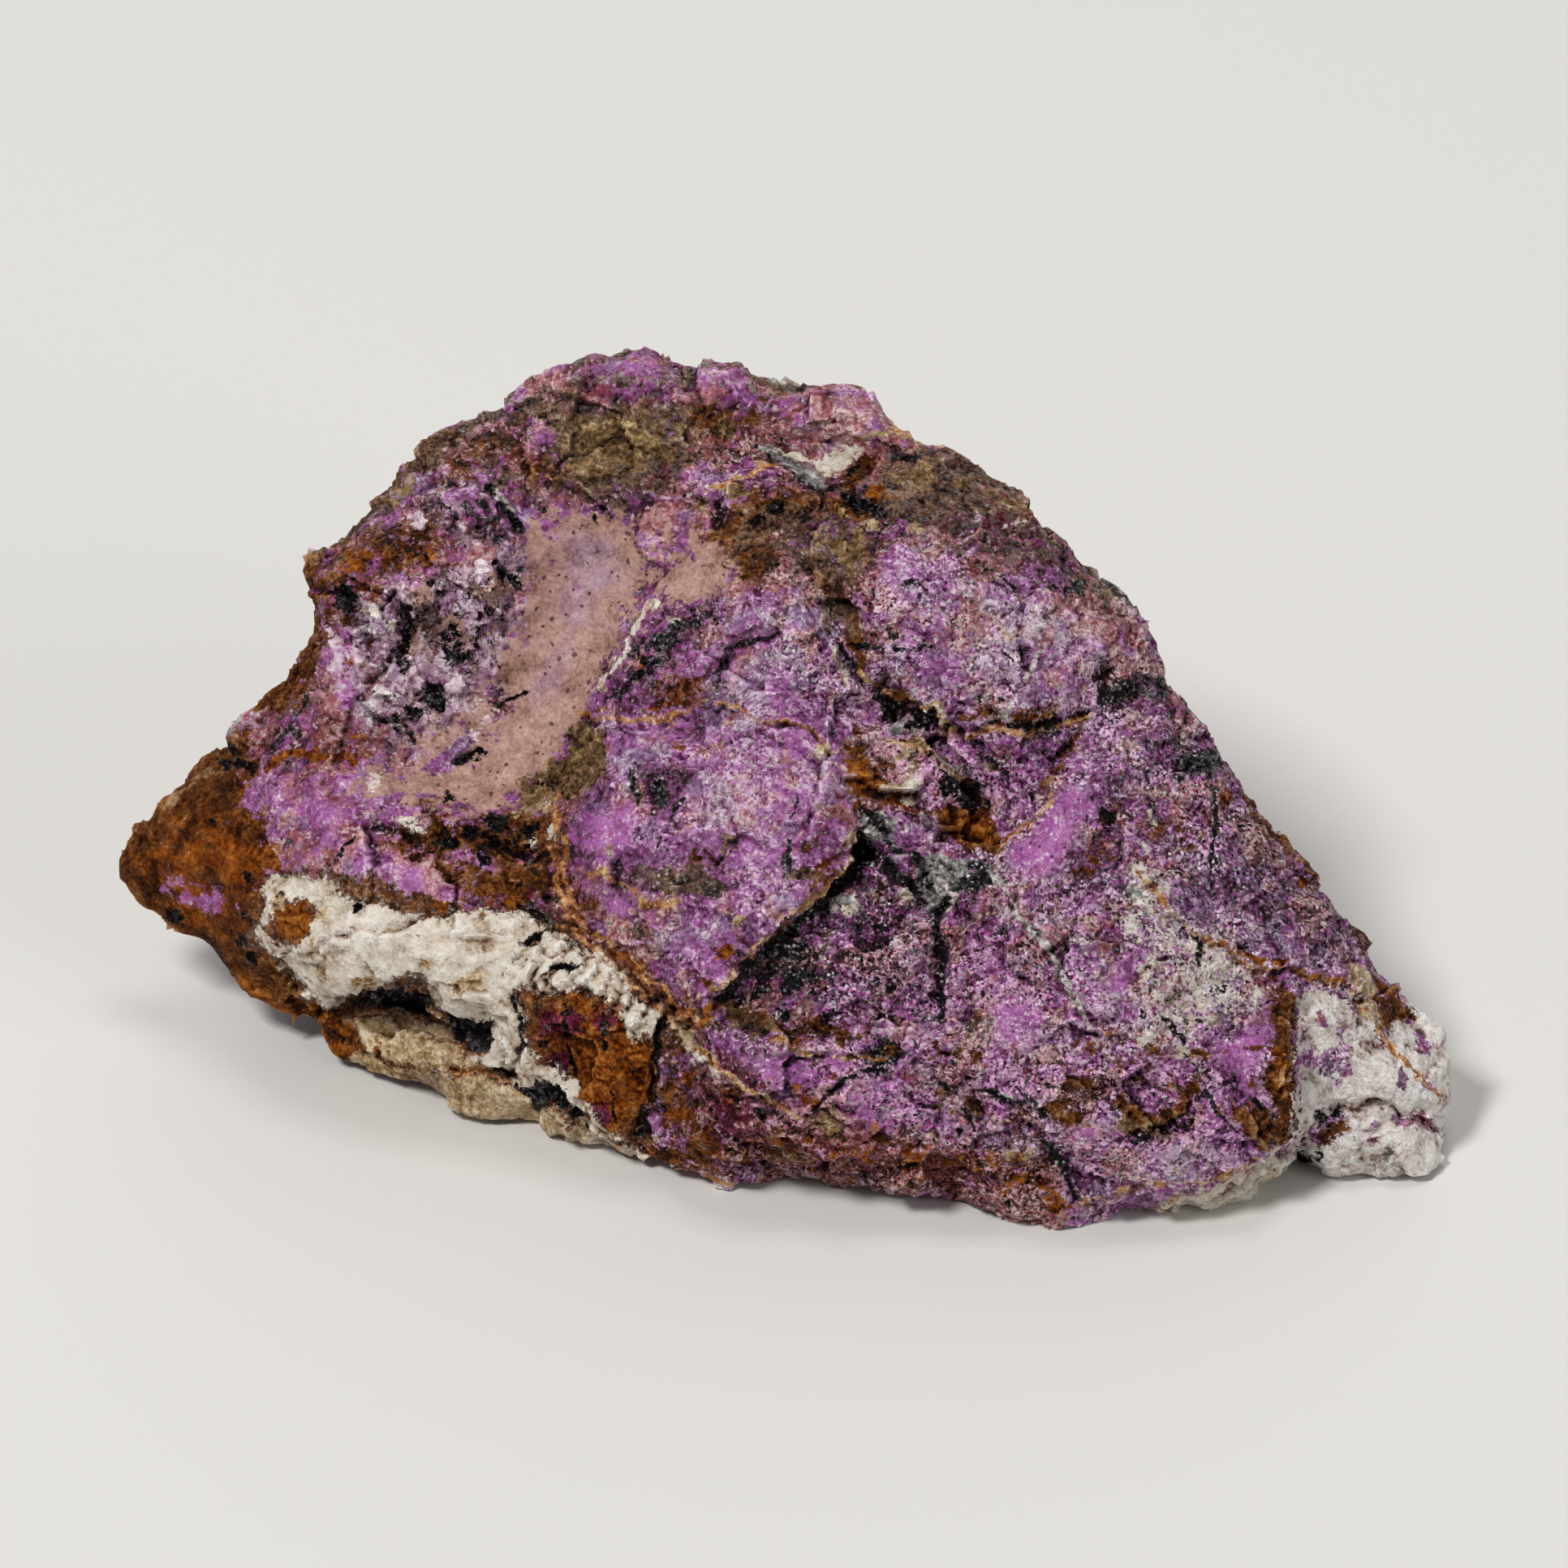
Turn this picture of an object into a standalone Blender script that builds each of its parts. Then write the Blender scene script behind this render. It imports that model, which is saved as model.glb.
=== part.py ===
"""A hand specimen of purpurite, about 71 mm long: one natural stone, resting on its broken base.

The stone is laid out in a viewing frame that looks down on its main face. Each point there has three sizes in
millimetres: x to the right, up along the view's own vertical, and near, towards the viewer. Every feature of the
face is a short line of such points. A constrained triangulation of those lines gives the front of the stone, a second
one gives its back and underside, and the two share one outline, so that together they close one solid. The solid is
then turned onto its table, roughened, thinned and cut flat where it rests.
"""

import math

import bpy
from mathutils import Vector
from mathutils.geometry import delaunay_2d_cdt

# Driving dimensions, in millimetres and degrees
MM = 0.001
VIEW_TILT = math.radians(35.0)  # how far the viewing frame looks down
GRAIN_SIZE = 0.55  # the cell of the even mesh that the rough faces are made of
LUMP_SIZE = 5.5
LUMP_HEIGHT = 0.7
CHIP_SIZE = 1.9
CHIP_HEIGHT = 0.55
KEPT_SHARE = 0.155  # the share of the even mesh's triangles that the finished stone keeps
BASE_CUT = 0.0  # height of the flat, broken base
CUTTER_SIZE = 200.0
WELD_DIGITS = 4  # points of the two shells that agree to this many decimals are one
SEWING_GAP = 1e-5  # points closer than this in the triangulation are one

STONE_COLOUR = (0.30, 0.14, 0.32, 1.0)
STONE_ROUGHNESS = 0.62

# The outline, clockwise from the left tip. A run's points are (x, up). Its depth goes evenly from the first of its
# two values to the second: near where the edge stands clear, and lift, the height over the table, where it rests.
OUTLINE = [
    ("left tip", "near", (-14.0, -10.5), [
        (-35.8, 19.3), (-34.6, 21.4), (-33.3, 22.4), (-32.1, 23.7), (-30.6, 25.3), (-30.6, 26.2),
        (-29.4, 27.1),
    ]),
    ("left rim", "near", (-10.5, -10.0), [
        (-29.0, 26.6), (-27.7, 28.0), (-26.5, 28.8), (-25.5, 30.1), (-25.0, 31.4), (-25.0, 33.0),
        (-25.5, 34.6), (-24.8, 35.5),
    ]),
    ("left brow", "near", (-10.0, -9.5), [
        (-23.1, 37.3), (-21.6, 38.7), (-20.3, 40.1), (-18.5, 41.6), (-16.3, 43.1), (-14.8, 43.7),
    ]),
    ("top lobe", "near", (-9.5, -9.5), [
        (-13.2, 45.4), (-11.6, 45.9), (-9.4, 46.4), (-7.4, 46.7), (-5.9, 46.2), (-4.8, 45.9), (-2.2, 46.0),
        (-0.9, 45.1),
    ]),
    ("second lobe", "near", (-9.5, -9.0), [
        (0.3, 44.6), (1.5, 44.5), (2.5, 44.6), (4.0, 44.6), (5.0, 44.0), (5.5, 42.9),
    ]),
    ("shoulder", "near", (-9.0, -7.5), [
        (6.3, 42.5), (7.3, 41.7), (9.2, 41.4), (10.2, 40.7), (11.5, 39.8), (12.8, 39.3), (13.9, 38.4),
        (14.5, 37.2), (15.4, 35.8), (16.6, 34.3),
    ]),
    ("right edge", "near", (-7.0, -6.0), [
        (17.9, 34.0), (18.7, 33.4), (19.1, 32.3), (19.7, 30.3), (20.6, 28.4), (21.9, 26.2), (23.1, 25.1),
        (23.6, 24.0), (24.2, 22.8), (25.3, 21.4), (26.7, 20.0), (27.5, 19.2), (28.3, 18.0), (29.6, 16.7),
        (30.3, 15.7), (31.1, 14.6), (32.1, 13.2),
    ]),
    ("end knob", "near", (-6.0, -6.0), [
        (33.1, 11.9), (34.9, 11.0), (35.4, 10.2), (35.4, 9.0), (35.7, 7.5), (35.3, 6.2), (35.2, 4.7),
    ]),
    ("knob foot", "lift", (0.3, 0.0), [
        (34.7, 3.4), (33.9, 2.7), (32.1, 2.5), (30.5, 3.0), (28.8, 2.4), (28.2, 3.1), (27.6, 2.6),
        (27.0, 3.7),
    ]),
    ("crust foot", "lift", (0.0, 0.0), [
        (25.9, 2.6), (24.3, 1.2), (22.8, 0.9), (21.1, 1.2), (20.0, 0.9),
    ]),
    ("front foot", "lift", (0.0, 0.3), [
        (17.6, 0.9), (14.5, 0.1), (13.0, 0.0), (11.3, 0.3), (9.7, 0.8), (8.7, 1.7), (5.8, 2.1), (3.2, 2.4),
        (-0.3, 2.7), (-1.1, 2.2), (-2.9, 2.2), (-4.4, 2.7),
    ]),
    ("white skirt", "lift", (0.4, 0.2), [
        (-6.6, 2.9), (-8.3, 3.8), (-9.2, 4.3), (-10.3, 4.1), (-12.0, 4.7), (-13.0, 5.5),
    ]),
    ("pale lobes", "lift", (0.0, 0.8), [
        (-13.8, 4.9), (-14.8, 5.2), (-16.3, 5.2), (-17.7, 5.8), (-18.5, 7.1), (-19.4, 8.0), (-20.8, 7.4),
        (-21.8, 8.1), (-22.6, 9.0),
    ]),
    ("left underside", "near", (-12.4, -14.0), [
        (-24.6, 10.3), (-26.8, 11.4), (-28.3, 12.3), (-29.3, 13.5), (-30.9, 14.7), (-32.7, 15.5),
        (-34.0, 16.4), (-35.1, 17.8),
    ]),
]

# Features of the main face, each a line of (x, up, near). The triangles never cross a line.
LEFT_WING = {
    "tip crown": [(-33.2, 19.0, -11.8), (-31.1, 21.6, -11.0), (-29.0, 23.8, -9.8)],
    "tip cheek": [(-30.7, 16.6, -11.4), (-29.4, 19.5, -8.6), (-26.8, 25.6, -8.0)],
    "brown strip": [(-28.0, 14.0, -10.6), (-26.6, 12.5, -11.6), (-24.6, 11.3, -11.6)],
    "purple band": [
        (-24.6, 22.1, -4.8), (-22.9, 20.4, -4.0), (-20.3, 19.4, -3.0), (-15.9, 18.6, -2.8),
        (-12.9, 19.5, -3.2),
    ],
    "band shoulder": [(-23.3, 25.0, -6.0), (-20.3, 22.3, -4.9), (-15.9, 21.4, -4.5)],
}
BOWL = {
    "bowl rim": [
        (-25.4, 28.0, -7.8), (-24.0, 31.2, -7.0), (-24.2, 34.2, -6.8), (-21.3, 36.6, -6.6),
        (-17.7, 38.6, -6.4),
    ],
    "bowl rough": [
        (-23.0, 29.0, -6.2), (-20.3, 28.4, -6.6), (-20.6, 32.5, -5.8), (-15.9, 34.3, -6.2),
        (-17.0, 36.6, -5.6),
    ],
    "bowl floor": [
        (-8.5, 38.4, -6.8), (-11.4, 36.0, -7.4), (-12.4, 31.6, -7.8), (-14.6, 27.0, -7.8),
        (-17.7, 23.9, -6.8), (-21.2, 24.0, -6.3),
    ],
    "bowl wall foot": [
        (-4.4, 37.1, -6.4), (-7.4, 33.6, -6.5), (-9.7, 29.8, -6.4), (-10.8, 26.4, -6.0),
        (-13.0, 22.8, -5.2),
    ],
    "bowl wall lip": [
        (-1.3, 37.6, -4.8), (-3.2, 35.4, -3.6), (-5.9, 32.2, -2.8), (-7.9, 29.4, -2.6), (-9.2, 27.0, -3.0),
        (-9.9, 23.8, -2.7),
    ],
    "shard hollow": [(-4.5, 31.7, -3.9), (-6.2, 30.1, -3.8), (-7.5, 28.3, -3.8)],
}
TOP = {
    "top lobe crown": [
        (-13.6, 42.2, -7.8), (-10.6, 44.2, -7.4), (-7.2, 44.6, -7.0), (-3.4, 44.6, -7.4),
        (-1.6, 43.4, -7.6),
    ],
    "top lobe hollow": [(-12.0, 40.6, -7.2), (-9.0, 41.6, -7.2), (-5.2, 41.2, -6.6)],
    "top lobe foot": [(-14.8, 39.4, -6.4), (-10.6, 39.6, -6.0), (-4.4, 39.3, -5.8)],
    "second lobe crown": [(-0.4, 43.4, -7.6), (1.6, 43.1, -6.8), (4.1, 42.2, -6.8), (6.0, 41.7, -7.4)],
    "crevice": [(-2.2, 41.3, -8.4), (0.2, 41.2, -9.0), (2.6, 40.6, -9.0), (5.0, 40.7, -8.6)],
    "crevice sill": [
        (-1.4, 39.7, -6.2), (2.6, 39.2, -6.2), (6.6, 39.7, -6.0), (10.2, 38.6, -5.6), (13.2, 37.1, -5.6),
    ],
}
BLOCKS = {
    "dividing valley": [(0.8, 37.4, -4.6), (3.4, 35.4, -3.8), (3.4, 32.6, -3.3), (3.0, 30.9, -3.1)],
    "left block": [(-0.4, 34.2, -2.4), (-2.9, 31.6, -1.8), (-5.7, 28.7, -2.0)],
    "left block belly": [(1.4, 31.2, -1.3), (0.4, 28.4, -0.9)],
    "right block": [(6.0, 35.0, -2.6), (8.0, 31.0, -0.8), (9.8, 27.6, -0.5), (14.4, 27.7, -1.5)],
    "right block top": [(10.2, 35.6, -3.0), (12.3, 31.0, -1.5), (14.6, 33.2, -3.2), (17.0, 31.2, -3.6)],
    "black notch": [(16.8, 28.6, -3.6), (18.6, 28.4, -5.2), (18.9, 29.6, -4.6)],
    "lower valley": [(15.6, 26.3, -2.9), (17.8, 27.0, -3.4)],
    "diagonal trench": [(3.6, 29.2, -2.6), (5.5, 28.2, -3.0), (8.0, 25.8, -2.8), (10.3, 22.8, -1.8)],
    "trench bank": [(3.2, 27.0, -1.0), (6.0, 25.4, -0.4), (8.2, 22.4, 0.1), (6.8, 22.0, 0.2)],
    "trench far bank": [(12.0, 24.0, -0.3), (12.4, 21.4, 0.6)],
}
HEART = {
    "orange seam": [(-8.0, 26.6, -2.9), (-5.0, 27.1, -2.5), (-1.6, 26.9, -1.5), (1.8, 26.1, -0.9)],
    "heart brow": [(-7.4, 25.2, -0.9), (-2.9, 25.4, 0.2), (1.5, 24.5, 0.6)],
    "heart belly": [(-8.2, 20.2, 0.5), (-2.9, 20.6, 1.9), (-5.4, 16.2, 1.9)],
    "heart left edge": [(-10.4, 21.0, -1.2), (-10.1, 18.0, -0.5), (-8.4, 15.9, 0.6), (-5.6, 13.6, 1.9)],
    "heart left foot": [(-11.5, 20.4, -2.9), (-11.3, 17.6, -2.2), (-9.3, 15.0, -1.1), (-6.5, 12.9, 0.4)],
    "heart lip": [
        (3.4, 22.6, 1.0), (3.7, 20.9, 1.5), (2.1, 18.6, 2.5), (-0.6, 16.0, 3.0), (-3.2, 12.9, 3.1),
        (-3.9, 11.6, 2.8),
    ],
    "heart crack": [(4.3, 20.1, -0.5), (3.0, 17.8, 0.5), (0.1, 15.3, 1.0), (-2.5, 12.5, 1.5)],
}
FRONT = {
    "sunk triangle": [(5.4, 19.0, 0.4), (5.2, 16.2, 1.4), (1.8, 14.0, 1.6), (3.8, 11.6, 2.6), (6.8, 13.4, 2.3)],
    "black vein": [(5.0, 21.3, 0.2), (7.4, 19.2, 0.9), (10.2, 18.8, 1.2), (8.3, 17.2, 0.7)],
    "upright crack": [(8.0, 15.8, 0.7), (8.2, 13.2, 1.4), (8.0, 10.6, 2.4)],
    "crack bank": [(9.8, 16.4, 1.9), (9.6, 12.8, 2.8), (9.6, 9.8, 3.6)],
    "purple boss": [(12.4, 19.4, 1.7), (14.4, 21.4, 1.8), (13.6, 18.4, 2.1)],
    "main plane": [
        (12.3, 15.4, 2.6), (13.2, 11.4, 3.8), (17.0, 9.2, 3.9), (21.0, 10.0, 3.1), (24.4, 11.6, 1.9),
    ],
    "main plane top": [(16.7, 18.6, 1.4), (18.9, 14.4, 2.6)],
    "plane foot": [(16.6, 4.8, 3.7), (19.0, 6.8, 3.1), (21.2, 4.8, 3.2), (24.8, 5.6, 2.4)],
    "purple skirt": [
        (15.9, 2.0, 1.8), (18.6, 2.0, 2.2), (21.4, 2.4, 1.8), (24.4, 3.2, 1.6), (26.4, 4.5, 0.9),
    ],
    "terrace lip": [(5.8, 9.9, 3.2), (10.4, 8.2, 3.9), (13.6, 6.2, 3.9), (15.2, 4.0, 2.9)],
    "terrace foot": [(5.6, 8.8, 2.3), (10.0, 7.1, 2.5), (13.4, 5.0, 2.3), (14.6, 2.6, 1.1)],
    "front belly": [
        (-0.2, 10.2, 3.1), (1.4, 7.6, 3.2), (5.0, 5.8, 2.9), (8.2, 5.8, 3.0), (11.4, 3.0, 2.1),
    ],
    "front chin": [(-2.8, 5.4, 1.4), (1.4, 4.0, 1.7), (6.6, 3.6, 1.8)],
    "chin left": [(-2.6, 9.2, 2.6), (-4.9, 8.4, 1.2), (-5.0, 5.0, -0.3)],
}
WHITE_BAND = {
    "slab": [
        (-13.8, 12.0, -0.9), (-9.6, 11.8, 0.4), (-7.0, 10.0, 0.6), (-7.0, 6.6, -0.6), (-8.8, 4.9, -2.6),
        (-13.0, 8.8, -2.6), (-13.8, 12.0, -0.9),
    ],
    "slab crack": [(-6.1, 9.8, -0.6), (-6.2, 6.8, -1.8), (-7.2, 5.0, -3.1)],
    "white crest": [
        (-27.4, 16.8, -7.6), (-25.4, 18.2, -5.2), (-21.2, 17.4, -3.4), (-15.9, 17.0, -2.9),
        (-12.4, 16.6, -2.6),
    ],
    "white belly": [
        (-25.0, 15.0, -4.6), (-20.3, 15.3, -2.0), (-15.9, 14.8, -1.2), (-11.6, 14.2, -0.7), (-8.4, 12.6, 0.4),
    ],
    "white lip": [
        (-24.6, 13.0, -6.2), (-21.8, 13.3, -3.6), (-18.6, 13.6, -2.2), (-17.8, 12.0, -2.4),
        (-14.6, 12.3, -1.7),
    ],
    "hollow": [(-22.2, 12.0, -9.0), (-19.6, 12.3, -9.8), (-18.3, 10.9, -9.2), (-16.0, 10.2, -7.6)],
    "hollow sill": [(-21.6, 10.4, -9.2), (-18.2, 9.2, -7.4), (-14.8, 9.8, -4.4)],
    "lobe crowns": [(-20.6, 8.6, -9.0), (-16.6, 7.2, -6.4), (-13.8, 7.4, -5.6)],
    "skirt hollow": [(-12.9, 7.2, -6.6), (-11.8, 6.2, -6.4)],
    "skirt crown": [(-11.9, 7.0, -3.6), (-10.2, 5.4, -4.0)],
}
RIGHT_END = {
    "orange vein": [
        (20.6, 16.8, 1.2), (24.0, 14.3, 0.8), (27.6, 13.7, -0.7), (30.2, 12.2, -2.0), (32.2, 9.9, -2.9),
    ],
    "flank": [
        (19.0, 25.0, -1.3), (21.0, 23.0, -1.0), (23.2, 19.8, -0.2), (25.8, 17.0, -0.2), (28.4, 14.9, -1.2),
    ],
    "flank edge": [(22.2, 24.8, -3.6), (25.2, 19.8, -2.8), (29.0, 16.4, -3.4), (31.2, 13.2, -4.0)],
    "knob step lip": [(26.7, 12.6, 0.5), (26.9, 8.8, 1.3), (26.7, 5.7, 1.1)],
    "knob step foot": [(27.6, 12.3, -0.7), (27.6, 8.6, -0.6), (27.5, 5.4, -0.9)],
    "knob face": [(29.7, 9.6, -0.9), (31.9, 7.8, -1.3), (34.1, 8.8, -3.0), (34.2, 6.4, -3.2)],
    "knob crack": [(29.3, 6.3, -2.4), (31.9, 6.0, -2.7), (34.3, 5.2, -4.2)],
    "knob chin": [(28.8, 4.2, -2.0), (30.4, 4.6, -1.8), (32.8, 4.2, -2.2), (34.0, 3.9, -3.2)],
}
FACE = [LEFT_WING, BOWL, TOP, BLOCKS, HEART, FRONT, WHITE_BAND, RIGHT_END]

# The back and the underside, each a line of (x, depth from the front foot, height over the table).
BACK = {
    "upper back": [
        (-19.0, 32.5, 21.0), (-12.0, 36.5, 24.8), (-5.0, 37.5, 26.8), (2.0, 36.4, 24.6), (9.0, 33.2, 22.0),
        (14.0, 30.0, 19.5),
    ],
    "shelf lip": [(-16.0, 33.8, 18.6), (-10.5, 36.2, 20.4), (-4.0, 37.4, 20.4)],
    "shelf foot": [(-15.6, 36.6, 16.0), (-10.0, 39.2, 17.4), (-3.2, 40.2, 17.6)],
    "diagonal ridge": [(-1.0, 40.4, 16.0), (3.5, 40.0, 12.0), (8.0, 38.6, 7.0), (10.5, 37.6, 3.5)],
    "ridge side": [(4.6, 38.2, 18.4), (8.2, 37.4, 13.4)],
    "left bulge": [(-22.0, 32.0, 13.0), (-17.0, 36.6, 11.0), (-12.0, 39.0, 9.0), (-8.0, 40.2, 5.0)],
    "left pocket": [(-8.5, 38.4, 12.5), (-3.0, 38.8, 10.5), (1.0, 38.0, 7.0)],
    "right pocket": [(10.0, 34.0, 17.4), (12.6, 32.4, 11.6), (13.2, 32.8, 6.5)],
    "right bulge": [(16.6, 29.6, 14.0), (19.4, 28.2, 8.0), (17.2, 30.4, 4.5)],
    "right low": [(23.6, 22.6, 8.5), (28.0, 17.6, 6.0), (31.0, 14.0, 4.6)],
    "left back": [(-28.6, 26.0, 11.5), (-24.2, 27.6, 17.0), (-20.6, 30.8, 16.6)],
    "left low": [(-24.5, 30.0, 8.0), (-20.5, 34.2, 5.5)],
    "back foot": [
        (-19.0, 33.5, 1.6), (-9.0, 39.5, 2.2), (2.0, 39.0, 1.0), (12.0, 36.0, 2.0), (20.0, 28.5, 1.4),
        (26.6, 20.5, 1.6), (32.0, 13.0, 1.4),
    ],
    "tip underside": [(-32.6, 22.5, 6.6), (-28.8, 23.0, 4.6), (-24.0, 25.5, 2.4)],
    "base rear": [
        (-17.5, 30.5, -1.0), (-8.0, 36.0, -1.6), (2.0, 36.5, -1.4), (11.0, 32.5, -1.6), (19.0, 25.0, -1.2),
        (30.0, 11.0, -1.2),
    ],
    "base middle": [
        (-17.0, 21.0, -0.9), (-9.0, 25.0, -1.3), (0.0, 22.0, -0.9), (8.0, 24.0, -1.4), (16.0, 17.0, -0.9),
        (24.0, 15.0, -1.4),
    ],
    "base front": [(-11.0, 16.0, -1.2), (-1.0, 10.5, -1.3), (11.0, 6.5, -1.4), (21.0, 8.0, -1.3)],
}


def near_of_lift(up, lift):
    """How near a point is that stands this high over the table."""
    return (lift - up * math.cos(VIEW_TILT)) / math.sin(VIEW_TILT)


def to_view(x, depth, height):
    """A point over the table, in the viewing frame."""
    up = depth * math.sin(VIEW_TILT) + height * math.cos(VIEW_TILT)
    near = height * math.sin(VIEW_TILT) - depth * math.cos(VIEW_TILT)
    return Vector((x, up, near))


def to_table(point):
    """A point of the viewing frame, over the table and in metres."""
    x, up, near = point
    depth = up * math.sin(VIEW_TILT) - near * math.cos(VIEW_TILT)
    height = up * math.cos(VIEW_TILT) + near * math.sin(VIEW_TILT)
    return Vector((x, depth, height)) * MM


def outline_points():
    """The outline as points of the viewing frame, with each run's depth spread evenly along it."""
    points = []
    for _name, kind, (first, last), run in OUTLINE:
        for index, (x, up) in enumerate(run):
            value = first + (last - first) * index / (len(run) - 1)
            points.append(Vector((x, up, value if kind == "near" else near_of_lift(up, value))))
    return points


def shell(outline, lines):
    """Triangles over the points of the outline and of the feature lines, with every line kept as edges."""
    points = list(outline)
    edges = []
    for line in lines:
        start = len(points)
        points.extend(Vector(point) for point in line)
        edges.extend((index, index + 1) for index in range(start, len(points) - 1))
    rim = list(range(len(outline)))[::-1]  # anticlockwise, as the triangulation wants its border
    flat = [point.xy for point in points]
    _places, _edges, triangles, sources, _, _ = delaunay_2d_cdt(flat, edges, [rim], 1, SEWING_GAP)
    if any(not source for source in sources):
        raise ValueError("two feature lines cross, or one leaves the outline")
    return [points[min(source)] for source in sources], triangles


def stone_mesh():
    """The front and the back shell, sewn along the outline they share."""
    outline = outline_points()
    face_lines = [line for group in FACE for line in group.values()]
    back_lines = [[to_view(*point) for point in line] for line in BACK.values()]
    front, front_triangles = shell(outline, face_lines)
    back, back_triangles = shell(outline, back_lines)
    vertices, faces, known = [], [], {}

    def vertex(point):
        key = tuple(round(value, WELD_DIGITS) for value in point)
        if key not in known:
            known[key] = len(vertices)
            vertices.append(to_table(point))
        return known[key]

    for triangle in front_triangles:
        faces.append([vertex(front[index]) for index in triangle])
    for triangle in back_triangles:
        faces.append([vertex(back[index]) for index in reversed(triangle)])
    mesh = bpy.data.meshes.new("purpurite_stone")
    mesh.from_pydata(vertices, [], faces)
    mesh.validate()
    return mesh


def stone_material():
    material = bpy.data.materials.new("purple_stone")
    material.use_nodes = True
    shader = material.node_tree.nodes["Principled BSDF"]
    shader.inputs["Base Color"].default_value = STONE_COLOUR
    shader.inputs["Roughness"].default_value = STONE_ROUGHNESS
    shader.inputs["Metallic"].default_value = 0.0
    return material


def apply_modifiers(stone):
    """Replaces the object's mesh by what its modifiers make of it."""
    graph = bpy.context.evaluated_depsgraph_get()
    shaped = bpy.data.meshes.new_from_object(stone.evaluated_get(graph))
    stone.modifiers.clear()
    stone.data = shaped


def add_relief(stone, name, texture_type, size, height):
    """Raises and sinks the surface by a texture of this size, by up to half its height each way."""
    texture = bpy.data.textures.new(name, texture_type)
    texture.noise_scale = size * MM
    relief = stone.modifiers.new(name, "DISPLACE")
    relief.texture = texture
    relief.texture_coords = "LOCAL"
    relief.strength = height * MM
    relief.mid_level = 0.5


def roughen(stone):
    """An even mesh over the facets, lumps and chips on it, and then only as many triangles as they need."""
    even = stone.modifiers.new("even mesh", "REMESH")
    even.mode = "VOXEL"
    even.voxel_size = GRAIN_SIZE * MM
    add_relief(stone, "lumps", "CLOUDS", LUMP_SIZE, LUMP_HEIGHT)
    add_relief(stone, "chips", "VORONOI", CHIP_SIZE, CHIP_HEIGHT)
    thin = stone.modifiers.new("thin", "DECIMATE")
    thin.ratio = KEPT_SHARE
    apply_modifiers(stone)


def cut_base(stone):
    """Cuts the stone off flat at the table."""
    size = CUTTER_SIZE * MM
    bpy.ops.mesh.primitive_cube_add(size=size, location=(0, 0, BASE_CUT * MM - size / 2))
    cutter = bpy.context.object
    cutter.name = "base_cutter"
    cutter.hide_render = True
    cutter.display_type = "WIRE"
    cut = stone.modifiers.new("flat base", "BOOLEAN")
    cut.operation = "DIFFERENCE"
    cut.object = cutter
    apply_modifiers(stone)
    bpy.data.objects.remove(cutter)


def centre_over_origin(stone):
    """Moves the stone so that the origin is under the middle of its bounding box."""
    corners = [vertex.co for vertex in stone.data.vertices]
    middle = [(min(c[axis] for c in corners) + max(c[axis] for c in corners)) / 2 for axis in (0, 1)]
    for vertex in stone.data.vertices:
        vertex.co.x -= middle[0]
        vertex.co.y -= middle[1]


def main():
    for old in list(bpy.data.objects):
        bpy.data.objects.remove(old)
    stone = bpy.data.objects.new("purpurite_stone", stone_mesh())
    bpy.context.scene.collection.objects.link(stone)
    roughen(stone)
    cut_base(stone)
    centre_over_origin(stone)
    stone.data.materials.clear()
    stone.data.materials.append(stone_material())


main()
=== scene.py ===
import math

import bpy
import numpy as np
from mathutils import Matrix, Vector


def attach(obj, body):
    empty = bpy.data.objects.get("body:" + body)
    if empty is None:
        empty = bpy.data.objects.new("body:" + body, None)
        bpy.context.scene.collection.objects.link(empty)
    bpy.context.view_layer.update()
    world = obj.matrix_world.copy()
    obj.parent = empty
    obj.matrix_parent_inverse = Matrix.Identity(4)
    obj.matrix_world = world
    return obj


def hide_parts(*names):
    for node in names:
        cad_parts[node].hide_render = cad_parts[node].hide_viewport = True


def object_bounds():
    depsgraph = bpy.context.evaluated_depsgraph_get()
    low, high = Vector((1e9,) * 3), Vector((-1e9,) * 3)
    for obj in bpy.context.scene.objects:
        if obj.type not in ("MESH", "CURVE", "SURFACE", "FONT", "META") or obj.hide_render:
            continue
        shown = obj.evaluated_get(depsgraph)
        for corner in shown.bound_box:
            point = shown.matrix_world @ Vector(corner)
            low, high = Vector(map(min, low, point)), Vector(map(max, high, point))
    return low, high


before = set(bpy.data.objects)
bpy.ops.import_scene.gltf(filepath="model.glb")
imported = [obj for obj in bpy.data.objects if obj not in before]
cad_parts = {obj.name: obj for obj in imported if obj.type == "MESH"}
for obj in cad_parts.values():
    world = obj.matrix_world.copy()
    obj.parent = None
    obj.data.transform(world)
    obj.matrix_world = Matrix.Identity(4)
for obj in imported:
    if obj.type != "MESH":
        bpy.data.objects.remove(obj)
cadLow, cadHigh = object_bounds()
print("frame loaded")

# How the stone is looked at. The strokes on its main face are placed in a square frame of pixels.
look = {
    "tilt": math.radians(35.0),  # how far the camera looks down
    "pixel": 0.043,  # millimetres of stone to a pixel
    "frameSize": 1932.0,
    "middle": 966.0,  # the column of x = 0
    "footRow": 1508.0,  # the row of the stone's lowest point, as the camera sees it
    "distance": 3.0,  # metres from the camera to the stone
    "sensor": 36.0,
    "shakes": [(26.0, 2.6, 0, 3), (14.0, 0.8, 10, 2)],  # pixels, size in millimetres, seed, octaves
    "frontFrom": (-0.45, -0.10),  # how far a face may turn away and still take the paint of the main face
}
latticeSize = 32  # cells of the random lattices
far = 1e9
viewUp = np.array((0.0, math.sin(look["tilt"]), math.cos(look["tilt"])))
viewBack = np.array((0.0, -math.cos(look["tilt"]), math.sin(look["tilt"])))


def deselectAll():
    bpy.ops.object.select_all(action="DESELECT")


def pick(piece):
    deselectAll()
    piece.select_set(True)
    bpy.context.view_layer.objects.active = piece


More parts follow.
